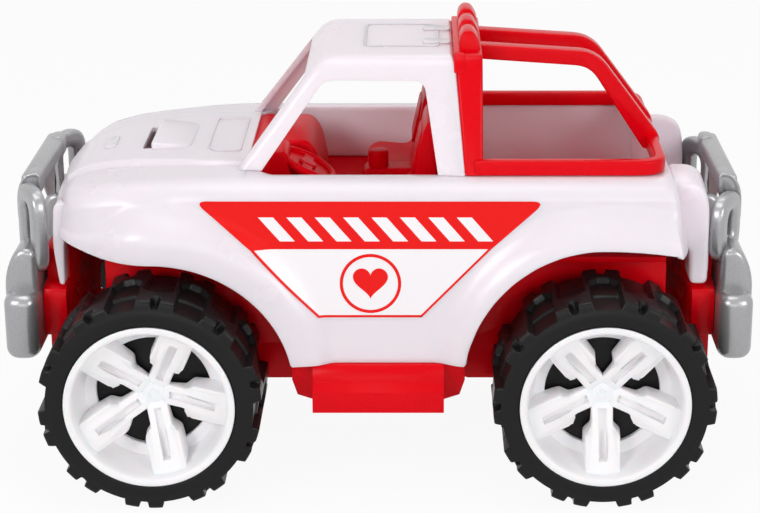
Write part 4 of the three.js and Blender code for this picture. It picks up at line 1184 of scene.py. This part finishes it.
# %% One spoke, then five
spoke_slope = 0.36
spoke_reach = 36.5
spoke_draft = 0.92
bar_end = 16.5
bar_drop = 2.2
groove_start = 7.4
spoke_edge = [(4, -5.4), (15, -5.4), (18.6, -8.9), (37, -8.9)]
spoke_plan = spoke_edge + [(r, -a) for r, a in reversed(spoke_edge)]
spoke = plate("spoke", rounded(spoke_plan, [0, 1.2, 1.2, 0, 0, 1.2, 1.2, 0], 3), 3.0, 20.0, "y")
for vertex in spoke.data.vertices:
    if vertex.co.y > 12 * mm:
        vertex.co.y -= spoke_slope * max(0, spoke_reach * mm - vertex.co.x)
        vertex.co.y -= bar_drop * mm if vertex.co.x < bar_end * mm else 0
        vertex.co.z *= spoke_draft
spoke.data.update()
soften(spoke, 0.9, 3)
groove = plate("groove", rectangle(groove_start, 30, 5, 40), -1.9, 1.9, "z")
for vertex in groove.data.vertices:
    vertex.co.y += spoke_slope * (vertex.co.x - groove_start * mm)
groove.data.update()
cut(spoke, moved(groove, Matrix.Translation((0, 0.2 * mm, 0))))
smooth(spoke, 35)
spokes = []
for i in range(5):
    angle = math.radians(90 + 72 * i)
    spokes.append(moved(copy_of(spoke, "spoke"), Matrix.Rotation(angle, 4, "Y")))
bpy.data.objects.remove(spoke)
rim = joined("rim", [bowl, hub, boss, *spokes])
smooth(rim, 35)

# %% [markdown]
# The finished tyre and rim are copied to the four corners. Wheels on the right are turned half round
# so that their bowls face outwards, and the front pair is rolled on by 13 degrees.

# %% Four wheels
for end in ("front", "rear"):
    for hand in ("left", "right"):
        along = axle_x if end == "front" else -axle_x
        aside = tyre_middle if hand == "left" else -tyre_middle
        place = Vector((along, aside, axle_z))
        facing = Matrix.Identity(4) if hand == "left" else Matrix.Rotation(math.pi, 4, "Z")
        roll = Matrix.Rotation(front_turn if end == "front" else 0, 4, "Y")
        pose = Matrix.Translation(place * mm) @ roll @ facing
        new_tyre = moved(copy_of(tyre, "tyre_%s_%s_moulded" % (end, hand)), pose)
        finished(new_tyre, end + "_wheels", "tyre_black", tyre_black, "tyre_%s_%s" % (end, hand))
        new_rim = moved(copy_of(rim, "rim_%s_%s_moulded" % (end, hand)), pose)
        finished(new_rim, end + "_wheels", "rim_white", rim_white, "rim_%s_%s" % (end, hand))
bpy.data.objects.remove(tyre)
bpy.data.objects.remove(rim)

# %% [markdown]
# ## Bumper guards
#
# Grey guards stand at both ends: a thick lower bar with rounded ends and a shoulder at each side, two
# uprights, a cross bar, and at each side a ring-shaped ear that sweeps back to the corner column. They
# are outline plates with generous bevels, as thick mouldings have. The uprights' flat sides are sunk to
# leave the raised rim of the real ones. The ears are rings turned back by 27 degrees, and the front
# pair is taller than the rear pair.

# %% Lower bar and shoulders
bar_side = [(161.8, -74), (178.4, -74), (179, -50)]
bar_plan = bar_side + [(x, -y) for x, y in reversed(bar_side)]
low_bar = soften(plate("low_bar", rounded(bar_plan, [8, 8, 9, 9, 8, 8], 6), 60.2, 92.8, "z"), 5.4, 6)
shoulder_side = [(162.6, 84), (178.8, 84), (178.8, 100), (173, 113), (163.6, 113)]
shoulder = soften(plate("shoulder", rounded(shoulder_side, [0, 0, 8, 6, 5], 5), 24.5, 63, "y"), 3.2, 5)
shoulders = [shoulder, mirrored(shoulder, "shoulder_right")]

# %% [markdown]
# The upper part of a guard is thinner. To sink the uprights' sides, their flat faces are inset by a
# border and pushed in, which leaves a rim without any cutting.


# %% Uprights, cross bar and ears
def sunk(piece, test, width, depth):
    """Faces that pass the test are inset by a border and pushed in."""
    only(piece)
    bpy.ops.object.mode_set(mode="EDIT")
    bpy.ops.mesh.select_mode(type="FACE")
    bpy.ops.mesh.select_all(action="DESELECT")
    bpy.ops.object.mode_set(mode="OBJECT")
    for polygon in piece.data.polygons:
        polygon.select = test(polygon)
    bpy.ops.object.mode_set(mode="EDIT")
    bpy.ops.mesh.inset(thickness=width * mm, depth=-depth * mm)
    bpy.ops.object.mode_set(mode="OBJECT")
    return piece


upright_foot = [(165, 104), (171, 104), (175.6, 117)]
upright_head = [(175.6, 134.5), (171, 143), (163.6, 143), (163.6, 133.2), (166.3, 129.5)]
upright_side = rounded(upright_foot + upright_head, [0, 2, 6, 7, 5, 3, 2, 4], 6)
upright = plate("upright", upright_side, 26, 38, "y")
sunk(upright, lambda face: abs(face.normal.y) > 0.9, 2.4, 1.1)
soften(upright, 1.3, 4)
uprights = [upright, mirrored(upright, "upright_right")]
cross = soften(plate("cross_bar", rounded(rectangle(163.8, 173.2, 133.2, 142.5), 3), -37, 37, "y"), 1.6, 4)
ear_turn = Matrix.Rotation(math.radians(27), 4, "Z")
ear_place = Matrix.Translation((172.4 * mm, 36 * mm, 0)) @ ear_turn
ear_half = 3.6
ear_band = 8.5


def ear_pair(name, low, high):
    """Ring-shaped ears on both sides, between two heights, swept back."""
    ear = plate(name, rounded(rectangle(-1, 28, low, high), 12, 8), -ear_half, ear_half, "x")
    hole = rounded(rectangle(8, 18.5, low + ear_band, high - ear_band), 5, 8)
    cut(ear, plate(name + "_hole", hole, -10, 10, "x"))
    soften(ear, 2.5, 5)
    moved(ear, ear_place)
    return [ear, mirrored(ear, name + "_right")]


guard_bars = [low_bar, *shoulders, *uprights, cross]
rear_bars = [copy_of(piece, "rear_" + piece.name) for piece in guard_bars]
guard = joined("front_bumper_moulded", guard_bars + ear_pair("ear", 98.5, 140))
rear_guard = joined("rear_bumper_moulded", rear_bars + ear_pair("rear_ear", 104, 136))
moved(rear_guard, Matrix.Rotation(math.pi, 4, "Z"))
for piece in (guard, rear_guard):
    smooth(piece, 40)
finished(guard, "car", "guard_silver", guard_silver, "front_bumper")
finished(rear_guard, "car", "guard_silver", guard_silver, "rear_bumper")

# %% [markdown]
# ## Chassis, axles and screws
#
# The red chassis is a hollow moulding seen from below and behind the wheels. Its shape is right as it
# stands, so its own faces are taken over, joined into flat panels and given softened edges. The axles
# and screws stay as they are with a steel finish.


# %% Chassis and small steel parts
def softened_copy(node, name, width):
    """The node's shape with flat faces joined and its edges made round."""
    piece = copy_of(frame["nodes"][node], name)
    only(piece)
    bpy.ops.object.parent_clear(type="CLEAR_KEEP_TRANSFORM")
    bpy.ops.object.transform_apply(location=True, rotation=True, scale=True)
    bpy.ops.object.mode_set(mode="EDIT")
    bpy.ops.mesh.select_all(action="SELECT")
    bpy.ops.mesh.remove_doubles(threshold=1e-6)
    bpy.ops.mesh.dissolve_limited(angle_limit=math.radians(1))
    bpy.ops.object.mode_set(mode="OBJECT")
    return soften(piece, width, 2)


chassis = softened_copy("chassis", "chassis_moulded", 0.7)
finished(chassis, "car", "trim_red", trim_red, "chassis")
for name, node in frame["nodes"].items():
    if name.startswith("screw") or name.endswith("axle"):
        node.data.materials.clear()
        node.data.materials.append(steel)

# %% [markdown]
# ## Stickers
#
# A printed film on each side: a red band over a white field with a thin red outline, slanting bars in
# the band and a heart in a ring below it. Each shape is a patch that is laid on the body's side, so
# it follows the soft rise towards the arches.


# %% Sticker shapes
def on_side(points, lift):
    """Flat (x, z) places laid on the left side of the body."""
    points = np.asarray(points, float)
    x, z = points[..., 0], points[..., 1]
    y = flared(x, base_half(z) * taper(x), z) + lift
    return np.stack([x, y, z], axis=-1)


def patch(name, corners, columns, rows, lift):
    """A four-cornered patch on the side; corners go round from the top front."""
    a, b, c, d = (np.array(corner, float) for corner in corners)
    u = np.linspace(0, 1, columns)[None, :, None]
    v = np.linspace(0, 1, rows)[:, None, None]
    spots = (a * (1 - u) + b * u) * (1 - v) + (d * (1 - u) + c * u) * v
    return grid(name, on_side(spots, lift))


def disc_patch(name, middle, outline, rows, lift, inner=0.0):
    """A round patch: an outline of (x, z) offsets scaled from inner to full size."""
    outline = np.asarray(outline, float)
    scale = np.linspace(inner, 1, rows)[:, None, None]
    spots = np.array(middle)[None, None, :] + outline[None, :, :] * scale
    return grid(name, on_side(spots, lift))


def dense(outline, step):
    """The outline with points added, none further apart than the step."""
    result = []
    for i, point in enumerate(outline):
        after = outline[(i + 1) % len(outline)]
        count = max(1, math.ceil(math.dist(point, after) / step))
        for k in range(count):
            share = k / count
            result.append(np.array(point) * (1 - share) + np.array(after) * share)
    return np.array(result + result[:1])


def field_patch(name, corners, radii, middle, lift):
    """A printed field with rounded corners, laid from its middle out."""
    outline = dense(rounded(corners, radii, 8), 1.5)
    return disc_patch(name, middle, outline - np.array(middle), 40, lift)


tip_front = (85.7, 141.6)
tip_rear = (-78.5, 141.6)
band_front = (59.0, 118.7)
band_rear = (-53.0, 118.7)
foot_front = (28.0, 85.5)
foot_rear = (-20.5, 85.5)
print("sticker corners", tip_front, tip_rear, foot_front, foot_rear)

# %% [markdown]
# The film lies lowest, the red print on it and the white bars on top, each a tenth of a millimetre or
# so above the last, so no two faces fall together. The right sticker is the mirror of the left.

# %% Sticker, left and right
band_z = band_front[1]
foot_z = foot_front[1]
line = 1.1
film_lift = 0.15
ink_lift = 0.28
bar_lift = 0.4
aside = line * 1.3
film_corners = [tip_front, tip_rear, band_rear, foot_rear, foot_front, band_front]
film = field_patch("film", film_corners, [7, 7, 2, 1, 1, 2], (3.5, 122), film_lift)
band_corners = [tip_front, tip_rear, band_rear, band_front]
prints = [field_patch("band", band_corners, [7, 7, 0, 0], (3.5, 130), ink_lift)]
edge = [band_front, (band_front[0] - aside, band_z), (foot_front[0] - aside, foot_z), foot_front]
prints.append(patch("edge_front", edge, 2, 48, ink_lift))
edge = [(band_rear[0] + aside, band_z), band_rear, foot_rear, (foot_rear[0] + aside, foot_z)]
prints.append(patch("edge_rear", edge, 2, 48, ink_lift))
edge = [(foot_front[0], foot_z + line), (foot_rear[0], foot_z + line), foot_rear, foot_front]
prints.append(patch("edge_foot", edge, 48, 2, ink_lift))
sweep = np.linspace(0, 2 * math.pi, 73)
emblem = (3.5, 102.0)
ring_outer = 14.4
ring_inner = 12.9
circle = ring_outer * np.stack([np.cos(sweep), np.sin(sweep)], axis=1)
prints.append(disc_patch("ring", emblem, circle, 3, ink_lift, inner=ring_inner / ring_outer))
heart_x = 8.2 * np.sin(sweep) ** 3
heart_z = 6.7 * np.cos(sweep) - 2.6 * np.cos(2 * sweep) - 1.05 * np.cos(3 * sweep)
heart_z += 1.2 - 0.5 * np.cos(4 * sweep)
prints.append(disc_patch("heart", emblem, np.stack([heart_x, heart_z], axis=1), 8, ink_lift))
bars_white = []
slant = 5.0
bar_width = 7.0
bar_top = 134.0
bar_foot = 122.5
for k in range(8):
    front = 50.6 - 13.2 * k
    rear = front - bar_width
    bar_corners = [(front + slant, bar_top), (rear + slant, bar_top)]
    bar_corners += [(rear - slant, bar_foot), (front - slant, bar_foot)]
    bars_white.append(patch("slant", bar_corners, 8, 10, bar_lift))
ink = joined("sticker_left_print", prints)
field = joined("sticker_left_field", [film, *bars_white])
for piece in (ink, field):
    apply(piece, "SOLIDIFY", thickness=0.08 * mm, offset=0)
    smooth(piece, 30)
ink_right = mirrored(ink, "sticker_right_print")
field_right = mirrored(field, "sticker_right_field")
finished(ink, "car", "sticker_red", sticker_red, "sticker_left")
finished(ink_right, "car", "sticker_red", sticker_red, "sticker_right")
finished(field, "car", "body_white", sticker_white)
finished(field_right, "car", "body_white", sticker_white)

# %% [markdown]
# ## Size
#
# The finished model's box is set beside the frame's, to see that nothing has grown.

# %% Measure and finish
size_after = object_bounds()
sizes = {
    "before": [[float(n) for n in corner] for corner in size_before],
    "after": [[float(n) for n in corner] for corner in size_after],
}
print(sizes)
